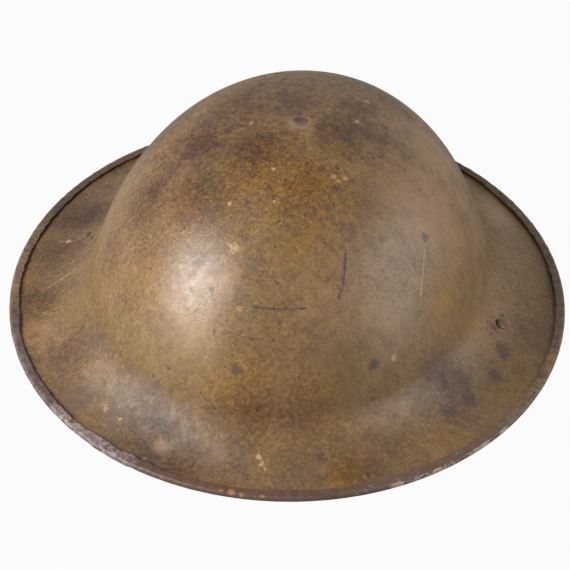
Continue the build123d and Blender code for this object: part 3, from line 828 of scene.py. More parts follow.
wear = rim_strip.data.color_attributes.new("wear", "FLOAT_COLOR", "POINT")
values = np.ones((len(rim_at), 4), np.float32)
values[:, 0] = bare_steel + 0.45 * zone(rim_turn_at, 296, 342, 6)
values[:, 1] = np.clip(rusty, 0, 1)
values[:, 2] = np.maximum(rim_chip, 0.85 * low_edge)
wear.data.foreach_set("color", values.ravel())
smooth_paint = rim_strip.data.color_attributes.new("smooth_paint", "FLOAT_COLOR", "POINT")
values = np.ones((len(rim_at), 4), np.float32)
values[:, 0] = (
    zone(rim_turn_at, 335, 400, 8) + zone(rim_turn_at, -40, 60, 8) + zone(rim_turn_at, 176, 204, 5)
)
values[:, 1] = zone(rim_turn_at, 206, 262, 2) + zone(rim_turn_at, 300, 345, 3)
smooth_paint.data.foreach_set("color", values.ravel())


# Old paint and oxide on the steel strip. The eye sees purplish brown with rust at the
# front, and worn grey steel with whitish specks beside the joint.
rim_steel, tree, place = new_material("worn oxidised rim steel")
wear, sound = [
    node(tree, "SeparateColor", {0: node(tree, "VertexColor", layer_name=name)})
    for name in ("wear", "smooth_paint")
]
steel_bare, rusty, chipped = wear.outputs
broad, fine, speck, smear = [
    node(tree, "TexNoise", {
        "Vector": place, "Scale": 1 / (size * mm), "Detail": detail, "Roughness": rough,
        "Distortion": bend,
    })
    for size, detail, rough, bend in (
        (7, 4.0, 0.6, 0.0), (2.2, 4.0, 0.7, 0.0), (0.8, 3.0, 0.6, 0.0), (3.2, 4.0, 0.75, 0.6),
    )
]
painted = node(tree, "MapRange", {
    "Value": broad, "From Min": 0.3, "From Max": 0.7, "To Min": 0.5, "To Max": 1.0,
})
painted = node(tree, "Math", {0: sound.outputs["Red"], 1: painted}, operation="MULTIPLY")
rust_share = varied(tree, rusty, broad, 0.3, 0.7, -0.4, 0.3)
colour = coats(tree, linear("#66503C"), (
    (broad, 0.4, 0.6, 1.0, linear("#664F46")),
    (painted, 0.0, 1.0, 1.0, linear("#8E765A")),
    (fine, 0.44, 0.64, 0.75, linear("#413233")),
    (speck, 0.56, 0.68, 0.4, linear("#8A6F58")),
    (rust_share, 0.3, 0.9, 0.5, linear("#6C4A37")),
))
most_rubbed = node(tree, "MapRange", {
    "Value": steel_bare, "From Min": 0.72, "From Max": 0.98, "To Min": 0.25, "To Max": 0.95,
})
steel = coats(tree, linear("#4E3D39"), (
    (broad, 0.4, 0.6, 1.0, linear("#735F5C")),
    (fine, 0.5, 0.66, 0.5, linear("#8F7C79")),
    (smear, 0.44, 0.66, most_rubbed, linear("#B7A5A0")),
    (speck, 0.42, 0.32, 0.5, linear("#4A3936")),
))
steel_share = node(tree, "MapRange", {
    "Value": varied(tree, steel_bare, fine, 0.3, 0.7, -0.3, 0.25),
    "From Min": 0.35, "From Max": 0.65, "To Max": 0.92,
})
colour = node(tree, "Mix", {0: steel_share, 6: colour, 7: steel}, data_type="RGBA")
chip_share = varied(tree, chipped, fine, 0.3, 0.7, -0.3, 0.3)
chip_share = varied(tree, chip_share, speck, 0.3, 0.7, -0.25, 0.25)
whitish = coats(tree, linear("#A98C6E"), ((speck, 0.4, 0.6, 1.0, linear("#CDB9A8")),))
chip_colour = node(tree, "Mix", {
    0: sound.outputs["Green"], 6: linear("#A0764F"), 7: whitish,
}, data_type="RGBA")
colour = coats(tree, colour, ((chip_share, 0.5, 0.7, 0.9, chip_colour),))
relief = node(tree, "Math", {0: speck, 1: 0.6, 2: fine}, operation="MULTIPLY_ADD")
metallic = node(tree, "Math", {0: steel_share, 1: 0.15}, operation="MULTIPLY")
dull = varied(tree, metallic, fine, 0.3, 0.7, 0.42, 0.6)
finish_material(tree, colour, dull, relief, 0.25, metallic)
rim_strip.data.materials.append(rim_steel)
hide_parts("rim_strip")
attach(rim_strip, "root")


# Rivets of the shell: the crown rivet in its dimple, and one at each side of the brim.
# They were painted with the shell, and their tops have worn to reddish steel.
def turned(profile, sides=32):
    """A body turned round z from a closed outline of radius and height, in mm."""
    angle = np.arange(sides) * 2 * math.pi / sides
    profile = np.asarray(profile, float)
    rows = mm * np.stack([
        profile[None, :, 0] * np.cos(angle)[:, None],
        profile[None, :, 0] * np.sin(angle)[:, None],
        np.repeat(profile[None, :, 1], sides, axis=0),
    ], axis=2)
    return sleeve(rows, closed=True)


def placed(part, middle, outward):
    """A part moved to a place, in mm, with its z turned outward."""
    points, faces = part
    turn = Vector(outward).to_track_quat("Z", "Y").to_matrix()
    return np.asarray(points) @ np.array(turn).T + mm * np.array(middle), faces


def button_head(radius, rise, foot):
    """Outline of a low domed head on its shank, down to the foot."""
    dome = [(radius * math.sin(a), rise * math.cos(a)) for a in np.radians(np.linspace(1, 90, 9))]
    shank = radius * 0.45
    return [
        (0.01, rise), *dome, (radius, -0.05), (shank, -0.1), (shank, foot), (0.01, foot),
    ]


bail_brim_share = 0.43
lug_sheet, rivet_seat, formed_head = 1.0, 0.1, 0.8
crown_head_radius, crown_head_rise, crown_washer = 4.6, 1.1, 1.0
crown_formed_radius, crown_share = 2.8, 0.055
bail_head_radius, bail_head_rise, bail_formed_radius = 3.0, 1.0, 2.6
gap, felt, strap_leather = 0.3, 7.0, 2.0
lower_strap_drop = sheet + gap + felt + gap + strap_leather + gap


def seat_place():
    """Middle of the right rivet's seat on the brim, and the direction out of the brim."""
    share = bail_brim_share
    reach, height = brim_curve(share, bowl_half_width, rim_half_width, 0)
    next_reach, next_height = brim_curve(share + 0.001, bowl_half_width, rim_half_width, 0)
    along = Vector((next_reach - reach, 0, next_height - height)).normalized()
    return Vector((reach, 0, height)), Vector((-along.z, 0, along.x))


seat, seat_out = seat_place()
washer_top = dome_curve(crown_share, bowl_half_width, lower_strap_drop + strap_leather + gap)[1]
crown_foot = washer_top - crown_washer
crown_top = dome_curve(crown_share, bowl_half_width, 0)[1] + rivet_seat
shank_length = crown_foot - crown_top
crown_outline = button_head(crown_head_radius - 0.3, 0.7 * crown_head_rise, shank_length)
crown_outline[-2:] = [
    (crown_formed_radius, shank_length), (crown_formed_radius, shank_length - 0.6),
    (2.0, shank_length - formed_head), (0.01, shank_length - formed_head),
]
side_foot = -sheet - lug_sheet - 3 * rivet_seat
side_outline = button_head(bail_head_radius, bail_head_rise, side_foot)
side_outline[-1:] = [
    (bail_formed_radius, side_foot), (bail_formed_radius, side_foot - 0.5),
    (1.6, side_foot - formed_head), (0.01, side_foot - formed_head),
]

rivet_paint, tree, place = new_material("paint worn off rivet steel")
fine, speck = [
    node(tree, "TexNoise", {
        "Vector": place, "Scale": 1 / (size * mm), "Detail": detail, "Roughness": rough,
    })
    for size, detail, rough in ((1.8, 4.0, 0.7), (0.7, 3.0, 0.6))
]
colour = coats(tree, linear("#66503A"), (
    (fine, 0.42, 0.6, 1.0, linear("#7A5444")),
    (speck, 0.58, 0.68, 0.8, linear("#8F8452")),
    (speck, 0.42, 0.34, 0.7, linear("#3A2E28")),
))
finish_material(tree, colour, 0.42, node(tree, "Math", {0: fine, 1: speck}), 0.15, 0.1)

# Paint on the crown rivet: it still covers the edge, greyed with dust, and its top has
# worn to a reddish spot of this radius.
worn_radius, painted_radius = 1.6 * mm, 3.2 * mm
crown_paint, tree, place = new_material("paint over the crown rivet")
fine, speck = [
    node(tree, "TexNoise", {
        "Vector": place, "Scale": 1 / (size * mm), "Detail": detail, "Roughness": rough,
    })
    for size, detail, rough in ((1.8, 4.0, 0.7), (0.7, 3.0, 0.6))
]
from_axis = node(tree, "VectorMath", {
    0: node(tree, "VectorMath", {0: place, 1: (1, 1, 0)}, operation="MULTIPLY"),
}, operation="LENGTH")
worn = node(tree, "MapRange", {
    "Value": from_axis, "From Min": worn_radius, "From Max": painted_radius,
    "To Min": 1.0, "To Max": 0.0,
})
worn = varied(tree, worn, fine, 0.3, 0.7, -0.5, 0.5)
colour = coats(tree, linear("#6F5843"), (
    (fine, 0.4, 0.6, 1.0, linear("#7E6856")),
    (worn, 0.3, 0.8, 0.9, linear("#593629")),
    (speck, 0.42, 0.34, 0.5, linear("#4A382F")),
))
finish_material(tree, colour, 0.5, node(tree, "Math", {0: fine, 1: speck}), 0.2)

crown_rivet = closed_piece(
    "crown_rivet_painted", [placed(turned(crown_outline), (0, 0, crown_top), (0, 0, 1))],
)
shell_rivets = [(crown_rivet, "crown_rivet", crown_paint)]
for side, flip in (("right", 1), ("left", -1)):
    side_seat = Vector((flip * seat.x, 0, seat.z))
    side_out = Vector((flip * seat_out.x, 0, seat_out.z))
    side_rivet = placed(turned(side_outline), side_seat + side_out * rivet_seat, side_out)
    shell_rivets.append((
        closed_piece(f"bail_rivet_{side}_painted", [side_rivet]), f"bail_rivet_{side}", rivet_paint,
    ))
for piece, stands_for, finish in shell_rivets:
    piece.data.materials.append(finish)
    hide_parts(stands_for)
    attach(piece, "root")


# Liner: the layers under the shell follow the same squared oval, moved inward by what
# lies outside them, so each one seats under the last.
strap_drop = sheet + gap + felt + gap
band, small_head, sweatband = 1.5, 0.6, 2.4
band_drop = strap_drop + strap_leather + gap
band_inner_drop = band_drop + band
sweat_drop = band_inner_drop + small_head + 2 * gap
net_drop = band_inner_drop + gap
liner_foot, liner_top, sweatband_top = 17.0, 55.0, 50.0
strap_lap, strap_rivet_spread = 14.0, 6.0
tube_count, tube_foot, tube_top, tube_bore_radius, tube_bow = 12, 20.0, 50.0, 2.2, 1.0
tube_radius = (band_drop - sheet - tube_bow) / 2 - gap
small_head_radius, small_rivet_radius = 2.2, 1.2


def reach_at(height, half, drop):
    """Reach of the bowl's outline at a height, moved inward by drop, in mm."""
    rise = (height + bowl_root_depth) / (crown_height + bowl_root_depth - drop)
    return (half - drop) * (1 - rise**bowl_squareness) ** (1 / bowl_squareness)


def height_over(across, along, drop):
    """Height of the bowl over a place in plan, moved inward by drop, in mm."""
    share = np.hypot(across / (bowl_half_width - drop), along / (bowl_half_length - drop))
    rise = (1 - share**bowl_squareness) ** (1 / bowl_squareness)
    return (crown_height + bowl_root_depth - drop) * rise - bowl_root_depth


def side_place(turn, height, drop):
    """A place on the bowl's side at a turn round it, and the direction out of it."""
    angle = math.radians(turn)
    place = Vector((
        reach_at(height, bowl_half_width, drop) * math.cos(angle),
        reach_at(height, bowl_half_length, drop) * math.sin(angle),
        height,
    ))
    root_x, root_y = bowl_half_width - drop, bowl_half_length - drop
    rise = crown_height + bowl_root_depth - drop
    flat = math.hypot(place.x / root_x, place.y / root_y) ** (bowl_squareness - 2)
    lean = ((height + bowl_root_depth) / rise) ** (bowl_squareness - 1) / rise
    out = Vector((flat * place.x / root_x**2, flat * place.y / root_y**2, lean))
    return place, out.normalized()


def belt(outer_drop, inner_drop, foot, top, turns, waves=None):
    """Closed outlines round the head for a band between two drops and two heights."""
    edge = (outer_drop + inner_drop) / 2
    heights = np.linspace(foot + 0.4, top - 0.4, 12)
    outline = [(outer_drop, z) for z in heights] + [(edge, top)]
    outline += [(inner_drop, z) for z in heights[::-1]] + [(edge, foot)]
    angle = np.arange(turns) * 2 * math.pi / turns
    rows = np.zeros((turns, len(outline), 3))
    for column, (drop, height) in enumerate(outline):
        move = 0 if waves is None else waves(angle, (height - foot) / (top - foot))
        rows[:, column, 0] = (reach_at(height, bowl_half_width, drop) - move) * np.cos(angle)
        rows[:, column, 1] = (reach_at(height, bowl_half_length, drop) - move) * np.sin(angle)
        rows[:, column, 2] = height
    return rows * mm


def cloth_places(piece, values):
    """Give each point its place on the flat cloth or leather, in metres."""
    layer = piece.data.attributes.new("cloth", "FLOAT_VECTOR", "POINT")
    layer.data.foreach_set("vector", np.asarray(values, np.float32).ravel())


def round_cloth(rows):
    """Length round the head and height, for a belt's points."""
    step = np.linalg.norm(np.diff(rows[:, :1], axis=0), axis=2)
    along = np.concatenate([[0], np.cumsum(step[:, 0])])
    flat = np.zeros(rows.shape)
    flat[:, :, 0] = along[:, None]
    flat[:, :, 1] = rows[:, :, 2]
    return flat.reshape(-1, 3)


def woven(tree, size):
    """Height of a plain weave with threads of a size in mm, from the cloth's places."""
    flat = node(tree, "Attribute", attribute_name="cloth").outputs["Vector"]
    warp, weft = [
        node(tree, "TexWave", {
            "Vector": flat, "Scale": 1 / (size * mm) / 3.2, "Distortion": 0.6, "Detail": 1.0,
        }, bands_direction=direction).outputs["Fac"]
        for direction in ("X", "Y")
    ]
    return node(tree, "Math", {0: warp, 1: weft}, operation="MULTIPLY")


def aged(name, first, second, dark, size, roughness, depth=0.1, metal=0.0, weave=0.0):
    """A worn material: two colours in patches of a size in mm, dark specks, and a fine
    relief, with a weave where its threads have a size."""
    material, tree, place = new_material(name)
    broad, fine, grain = [
        node(tree, "TexNoise", {
            "Vector": place, "Scale": 1 / (across * mm), "Detail": detail, "Roughness": rough,
            "Distortion": bend,
        })
        for across, detail, rough, bend in (
            (size, 4.0, 0.6, 0.0), (size / 6, 4.0, 0.7, 0.3), (size / 22, 2.0, 0.6, 0.0),
        )
    ]
    colour = coats(tree, linear(first), (
        (broad, 0.38, 0.62, 1.0, linear(second)), (fine, 0.55, 0.72, 0.7, linear(dark)),
    ))
    relief = node(tree, "Math", {0: fine, 1: grain})
    if weave:
        threads = woven(tree, weave)
        colour = coats(tree, colour, ((threads, 0.35, 0.0, 0.55, linear(dark)),))
        relief = node(tree, "Math", {0: threads, 1: 2.0, 2: relief}, operation="MULTIPLY_ADD")
    dull = node(tree, "MapRange", {
        "Value": fine, "From Min": 0.3, "From Max": 0.7,
        "To Min": roughness - 0.08, "To Max": roughness + 0.08,
    })
    finish_material(tree, colour, dull, relief, depth, metal)
    return material


def dress(piece, material, stands_for, body="root"):
    """Material, slot, replaced nodes and body of a piece of the liner or the strap."""
    piece.data.materials.append(material)
    if stands_for:
        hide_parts(*stands_for)
    if body:
        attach(piece, body)
    return piece


# Crown pad: a disc cut from thick wool felt and pressed into the crown, with a rounded
# edge and a surface a little uneven. The eye sees grey brown without any gloss.
felt_radius = 40.0
pad_rings = np.concatenate([
    np.linspace(0.05, 0.94, 16), [0.98, 1.0, 0.98], np.linspace(0.94, 0.05, 16),
])
pad_depths = np.concatenate([np.zeros(16), [0.08, 0.5, 0.92], np.ones(16)])
pad_turns = np.arange(96) * 2 * math.pi / 96
pad_rows = np.zeros((len(pad_rings), 96, 3))
for row, (ring, depth) in enumerate(zip(pad_rings, pad_depths)):
    pad_rows[row, :, 0] = felt_radius * ring * np.cos(pad_turns)
    pad_rows[row, :, 1] = felt_radius * ring * np.sin(pad_turns)
    drop = sheet + gap + 0.15 + (felt - 0.3) * depth
    pad_rows[row, :, 2] = height_over(pad_rows[row, :, 0], pad_rows[row, :, 1], drop)
    lumps = np.sin(3 * pad_turns + 9 * ring) + np.sin(7 * pad_turns - 14 * ring)
    pad_rows[row, :, 2] += 0.1 * lumps * (depth > 0.5) * min(1, 2 - 2 * ring)
felt_wool = aged("grey brown wool felt", "#6E6353", "#7D7060", "#4A4136", 5, 0.9, 0.35)
felt_pad = closed_piece("felt_crown_pad", [sleeve(pad_rows * mm)])
dress(felt_pad, felt_wool, ["felt_pad"])


# Cross straps: two strips of brown leather from band to band under the pad, the short
# one stepping down a layer to pass below the long one at the crown. The leather has
# dried, so the eye sees it matt, with darker specks.
def strip_rows(path, normals, width, thick, fold=0.0):
    """Closed outlines along a path for a strap with rounded edges, sizes in mm."""
    path, normals = np.asarray(path, float), np.asarray(normals, float)
    along = np.gradient(path, axis=0)
    along /= np.linalg.norm(along, axis=1, keepdims=True)
    side = np.cross(normals, along)
    side /= np.linalg.norm(side, axis=1, keepdims=True)
    up = np.cross(along, side)
    half, rise = width / 2, thick / 2
    soft = 0.45 * thick
    across = np.linspace(-half + soft, half - soft, 9)
    outline = np.concatenate([
        np.stack([across, 0 * across + rise], axis=1),
        arc(half - soft, rise - soft, soft, 70, 20, 2),
        arc(half - soft, soft - rise, soft, -20, -70, 2),
        np.stack([across[::-1], 0 * across - rise], axis=1),
        arc(soft - half, soft - rise, soft, 250, 200, 2),
        arc(soft - half, rise - soft, soft, 160, 110, 2),
    ])
    lift = outline[:, 1] - fold * (outline[:, 0] / half) ** 2
    return mm * (
        path[:, None] + side[:, None] * outline[None, :, :1] + up[:, None] * lift[None, :, None]
    )


def strip_cloth(rows):
    """Length along a strap and distance across it, for its points."""
    middle = rows.mean(axis=1)
    step = np.linalg.norm(np.diff(middle, axis=0), axis=1)
    flat = np.zeros(rows.shape)
    flat[:, :, 0] = np.concatenate([[0], np.cumsum(step)])[:, None]
    flat[:, :, 1] = np.linalg.norm(rows - middle[:, None], axis=2)
    return flat.reshape(-1, 3)


cross_strap_width = 22.0
strap_foot = liner_top - strap_lap


def crown_path(half, along_y, drops):
    """A path over the crown between the two ends of a strap, with its directions up."""
    rise = (strap_foot + bowl_root_depth) / (crown_height + bowl_root_depth - drops(1.0))
    ends = math.acos(rise ** (bowl_squareness / 2)) / bowl_turn
    points = []
    for step in np.linspace(-1, 1, 121):
        spread = math.copysign(max(abs(step), 0.012) ** 1.15, step)
        drop = drops(abs(spread))
        reach, height = dome_curve(abs(spread) * ends, half, drop)
        reach = math.copysign(reach, step)
        points.append((0, reach, height) if along_y else (reach, 0, height))
    points = np.array(points)
    along = np.gradient(points, axis=0)
    level = np.array([1.0, 0, 0]) if along_y else np.array([0, -1.0, 0])
    up = np.cross(level, along)
    return points, up / np.linalg.norm(up, axis=1, keepdims=True)


def long_drop(share):
    return strap_drop + strap_leather / 2


def short_drop(share):
    stepped = 1 - eased(share, 0.075, 0.13)
    return strap_drop + strap_leather / 2 + (strap_leather + gap) * stepped


liner_leather = aged("dry brown liner leather", "#4E3322", "#5F4029", "#33231A", 6, 0.62, 0.2)
for name, half, along_y, drops in (
    ("cross_strap_long", bowl_half_length, True, long_drop),
    ("cross_strap_short", bowl_half_width, False, short_drop),
):
    path, up = crown_path(half, along_y, drops)
    rows = strip_rows(path, up, cross_strap_width, strap_leather - 0.1, 0.5)
    strap = closed_piece(f"{name}_leather", [sleeve(rows)])
    cloth_places(strap, strip_cloth(rows))
    dress(strap, liner_leather, [name])


# Crown washer: a small disc stamped from sheet brass, which the crown rivet's formed end
# holds under the straps. It has tarnished, so the eye sees a dull yellow brown metal.
old_brass = aged("tarnished sheet brass", "#7E6536", "#927643", "#4A3A22", 3, 0.4, 0.05, 0.9)
washer_bore, washer_radius = 2.15, 6.5
washer_outline = [
    (washer_bore, 0), (washer_radius - 0.3, 0), (washer_radius, -0.25), (washer_radius, -0.8),
    (washer_radius - 0.2, -crown_washer), (washer_bore, -crown_washer),
]
washer = closed_piece(
    "crown_washer_brass", [placed(turned(washer_outline), (0, 0, washer_top), (0, 0, 1))],
)
dress(washer, old_brass, ["crown_washer"])


# Headband: buckram, a stiffened canvas, tan and coarsely woven, stitched along both of
# its edges with pale thread.
band_turns = 360
band_rows = belt(band_drop, band_inner_drop, liner_foot, liner_top, band_turns)
buckram = aged("stiffened buckram canvas", "#7A6A4C", "#87765A", "#4E4330", 9, 0.85, 0.3, weave=1.1)
liner_band = closed_piece("buckram_band", [sleeve(band_rows, closed=True)])
cloth_places(liner_band, round_cloth(band_rows))
dress(liner_band, buckram, ["liner_band"])


def stitches(drop, height, count, length=2.4, radius=0.28):
    """A row of short raised stitches round the head, each a thin capsule."""
    parts = []
    for turn in np.arange(count) * 360 / count:
        middle, out = side_place(turn, height, drop)
        level = Vector((0, 0, 1)).cross(out).normalized()
        rows = []
        for share, thin in ((-1, 0.3), (-0.7, 1), (0, 1.15), (0.7, 1), (1, 0.3)):
            ring = []
            for angle in np.arange(6) * math.pi / 3:
                lift = Vector((0, 0, radius * thin * math.sin(angle)))
                lift = out * (radius * thin * math.cos(angle)) + lift
                ring.append(middle + level * (share * length / 2) + lift)
            rows.append(ring)
        parts.append(sleeve(np.array(rows) * mm))
    return parts


linen_thread = aged("waxed linen thread", "#9A8A68", "#AD9C78", "#6A5B40", 2, 0.7, 0.1)
band_seams = closed_piece("band_stitching", (
    stitches(band_inner_drop, liner_top - 2.2, 150)
    + stitches(band_drop, liner_top - 2.2, 150)
    + stitches(band_drop, liner_foot + 2.4, 160)
))
dress(band_seams, linen_thread, [])


# Buffers: twelve short lengths of red brown rubber tube between band and shell, matt
# and a little bloomed, with soft cut ends.
old_rubber = aged("perished red brown rubber", "#6A3A2C", "#7C4B3A", "#43241C", 7, 0.72, 0.12)


def tube_ends(turn):
    middle_drop = (sheet + band_drop - tube_bow) / 2
    angle = math.radians(turn)
    return [
        Vector((
            reach_at(height, bowl_half_width, middle_drop) * math.cos(angle),
            reach_at(height, bowl_half_length, middle_drop) * math.sin(angle),
            height,
        )) for height in (tube_foot, tube_top)
    ]


tube_turns = [360 / tube_count * (index + 0.5) for index in range(tube_count)]
for index, turn in enumerate(tube_turns):
    low, high = tube_ends(turn)
    length = (high - low).length
    levels = np.linspace(0.4, length - 0.4, 9)
    swell = 0.1 * np.sin(levels / length * math.pi)
    outline = [(tube_bore_radius + 0.3, 0), (tube_radius - 0.4, 0)]
    outline += [(tube_radius - 0.1 + grow, level) for level, grow in zip(levels, swell)]
    outline += [(tube_radius - 0.4, length), (tube_bore_radius + 0.3, length)]
    outline += [(tube_bore_radius, length - 0.4), (tube_bore_radius, 0.4)]
    tube = closed_piece(
        f"rubber_buffer_{index + 1:02d}", [placed(turned(outline, 28), low, high - low)],
    )
    dress(tube, old_rubber, [f"rubber_tube_{index + 1:02d}"])


# Small rivets of the liner: copper, with a domed head closed over each end that shows.
# The copper has gone dull, so the eye sees brown metal with soft highlights.
old_copper = aged("dull copper", "#6E4630", "#85563A", "#3C271C", 2, 0.42, 0.06, 0.85)


def small_rivet(middle, out, inner_depth, outer_rise, outer_head=True):
    """Outline of a small rivet, from its inner dome to its outer one, turned and placed."""
    dome = arc(0, 0, 1, 0, 75, 3) * (small_head_radius, small_head)
    outer = dome[::-1] + (0, outer_rise) if outer_head else []
    shank = [(small_rivet_radius, outer_rise), (small_rivet_radius, -inner_depth)]
    inner = dome * (1, -1) - (0, inner_depth)
    top = outer_rise + (small_head if outer_head else 0)
    outline = [(0.01, top), *outer, *shank, *inner, (0.01, -inner_depth - small_head)]
    return placed(turned(outline, 18), middle, out)


rivet_depth = band + rivet_seat
strap_rise = gap + strap_leather + rivet_seat
parts = []
for turn in (0, 90, 180, 270):
    for side in (-1, 1):
        height = liner_top - strap_lap / 2 + side * strap_rivet_spread / 2
        parts.append(small_rivet(*side_place(turn, height, band_drop), rivet_depth, strap_rise))
dress(closed_piece("strap_rivets_copper", parts), old_copper, ["strap_rivets"])
tube_rise = tube_radius - tube_bore_radius + 2 * gap
parts = []
for turn in tube_turns:
    middle, out = side_place(turn, (tube_foot + tube_top) / 2, band_drop)
    parts.append(small_rivet(middle, out, rivet_depth, tube_rise, False))
dress(closed_piece("tube_rivets_copper", parts), old_copper, ["tube_rivets"])


# Sweatband: black oiled cloth, with a turned hem at each edge, stitched down, and slight
# folds where the head has pressed it. The eye sees a half glossy skin with fine cracks.
def sweat_waves(angle, share):
    folds = 0.16 * np.sin(23 * angle + 2 * share) + 0.1 * np.sin(41 * angle - 3 * share)
    hem = 0.0 if 0.12 < share < 0.9 else -0.12
    return folds * (1 - abs(2 * share - 1)) + hem


oilcloth, tree, place = new_material("cracked black oilcloth")
flat = node(tree, "Attribute", attribute_name="cloth").outputs["Vector"]
cracks = node(tree, "TexVoronoi", {
    "Vector": flat, "Scale": 1 / (2.6 * mm),
}, feature="DISTANCE_TO_EDGE")
broad, fine = [
    node(tree, "TexNoise", {
        "Vector": place, "Scale": 1 / (size * mm), "Detail": detail, "Roughness": 0.6,
    })
    for size, detail in ((14, 4.0), (1.5, 3.0))
]
colour = coats(tree, linear("#1F1C1A"), (
    (broad, 0.35, 0.65, 1.0, linear("#332E2A")), (cracks, 0.05, 0.0, 0.8, linear("#5B4A38")),
))
relief = node(tree, "Math", {
    0: fine, 1: 0.5, 2: node(tree, "MapRange", {"Value": cracks, "From Max": 0.12}),
}, operation="MULTIPLY_ADD")
dull = node(tree, "MapRange", {
    "Value": broad, "From Min": 0.3, "From Max": 0.7, "To Min": 0.34, "To Max": 0.5,
})
finish_material(tree, colour, dull, relief, 0.12)
sweat_rows = belt(
    sweat_drop + 0.15, sweat_drop + sweatband - 0.15, liner_foot, sweatband_top, 480, sweat_waves,
)
sweat_piece = closed_piece("oilcloth_sweatband", [sleeve(sweat_rows, closed=True)])
cloth_places(sweat_piece, round_cloth(sweat_rows))
dress(sweat_piece, oilcloth, ["sweatband"])
sweat_seams = closed_piece("sweatband_stitching", (
    stitches(sweat_drop + sweatband - 0.1, liner_foot + 4.5, 150)
    + stitches(sweat_drop + sweatband - 0.1, sweatband_top - 4.0, 140)
))
dress(sweat_seams, linen_thread, [])


# Net: knotted cotton twine over the head, square meshes on edge, each string a little
# slack between its knots, tied into a woven hem inside the top of the band. The eye
# sees dull buff cords with rough knots.
net_twine, net_pitch, net_border, net_rise = 1.8, 12.0, 4.0, 32.0
net_low = sweatband_top + gap
net_flat_share = 0.96
net_reach_x = reach_at(liner_top, bowl_half_width, net_drop) - net_twine / 2
net_reach_y = reach_at(liner_top, bowl_half_length, net_drop) - net_twine / 2


def net_height(across, along):
    reach = np.clip(np.hypot(across / net_reach_x, along / net_reach_y), 0, 1)
    rise = np.minimum(np.sqrt(1 - reach**2), net_flat_share)
    return net_low + net_border + (net_rise - net_twine / 2) * rise


def cord_rows(path, radius, sides=7):
    """Round outlines along a path in mm, for a string or a wire."""
    path = np.asarray(path, float)
    along = np.gradient(path, axis=0)
    along /= np.linalg.norm(along, axis=1, keepdims=True)
    side = np.cross(along, [0.02, 0.01, 1.0])
    side /= np.linalg.norm(side, axis=1, keepdims=True)
    up = np.cross(side, along)
    angle = np.arange(sides) * 2 * math.pi / sides
    ring = side[:, None] * np.cos(angle)[:, None] + up[:, None] * np.sin(angle)[:, None]
    return mm * (path[:, None] + radius * ring)


def knot(middle, radius, squash=0.75):
    """A small flattened ball where two strings are tied."""
    steps = np.radians(np.linspace(4, 176, 7))
    outline = [(radius * math.sin(a), radius * squash * math.cos(a)) for a in steps]
    return placed(turned(outline, 9), middle, (0.1, 0.05, 1))


pick = np.random.default_rng(5)
string_radius, string_sag, string_cross = 0.62, 0.35, 0.12
half_mesh = net_pitch / math.sqrt(2)
string_parts, knot_parts = [], []
for sign in (1, -1):
    for line in range(-16, 17):
        offset = (2 * line + 1) * half_mesh
        spread = np.linspace(-230, 230, 1400)
        across, along = (offset + spread) / 2, sign * (offset - spread) / 2
        inside = np.hypot(across / net_reach_x, along / net_reach_y) < 0.995
        if inside.sum() < 20:
            continue
        across, along, spread = across[inside][::4], along[inside][::4], spread[inside][::4]
        phase = np.sin(math.pi * (spread / (2 * half_mesh) - 0.5)) ** 2
        height = net_height(across, along) - string_sag * phase + string_cross * sign
        wander = 0.25 * np.sin(spread / 7.3 + line)
        path = np.stack([across + wander, along, height], axis=1)
        string_parts.append(sleeve(cord_rows(path, string_radius)))
for row in range(-17, 18):
    for column in range(-17, 18):
        if (row + column) % 2 == 0:
            continue
        across, along = column * half_mesh, row * half_mesh
        if math.hypot(across / net_reach_x, along / net_reach_y) < 0.97:
            middle = (across, along, float(net_height(across, along)))
            knot_parts.append(knot(middle, pick.uniform(1.15, 1.4)))
cotton_twine = aged("knotted cotton twine", "#8A7250", "#9C8561", "#5A4830", 2.4, 0.88, 0.25)
hem_outline_x = net_reach_x + net_twine / 2 - 0.1
hem_outline_y = net_reach_y + net_twine / 2 - 0.1
hem_turns = np.arange(300) * 2 * math.pi / 300
hem_rows = np.zeros((300, 6, 3))
for column, (inset_by, height) in enumerate((
    (0.1, net_low + 0.3), (0, net_low + 2), (0.2, net_low + net_border),
    (0.8, net_low + net_border + 0.3), (1.4, net_low + 2), (0.9, net_low),
)):
    hem_rows[:, column, 0] = (hem_outline_x - inset_by) * np.cos(hem_turns)
    hem_rows[:, column, 1] = (hem_outline_y - inset_by) * np.sin(hem_turns)
    hem_rows[:, column, 2] = height
net_hem = sleeve(hem_rows * mm, closed=True)
net_piece = closed_piece("knotted_net", string_parts + knot_parts + [net_hem])
dress(net_piece, cotton_twine, ["net_cap"])


# Lugs: a plate of steel sheet under each side rivet, its inner end rolled round the
# bail's wire. The eye sees dark, half dull steel with specks of rust.
lug_width, lug_outward, lug_inward = 14.0, 6.0, 9.0
wire_radius, wire_fit = 1.2, 0.1
bail_width, bail_drop, bail_corner = 26.0, 9.0, 3.5
barrel_depth = sheet + rivet_seat + lug_sheet + wire_fit + wire_radius
seat_slope = Vector((-seat_out.z, 0, seat_out.x))


def on_seat(along, out):
    """A point of the right lug from its distances up the brim's slope and out of it."""
    return seat + seat_slope * along + seat_out * out


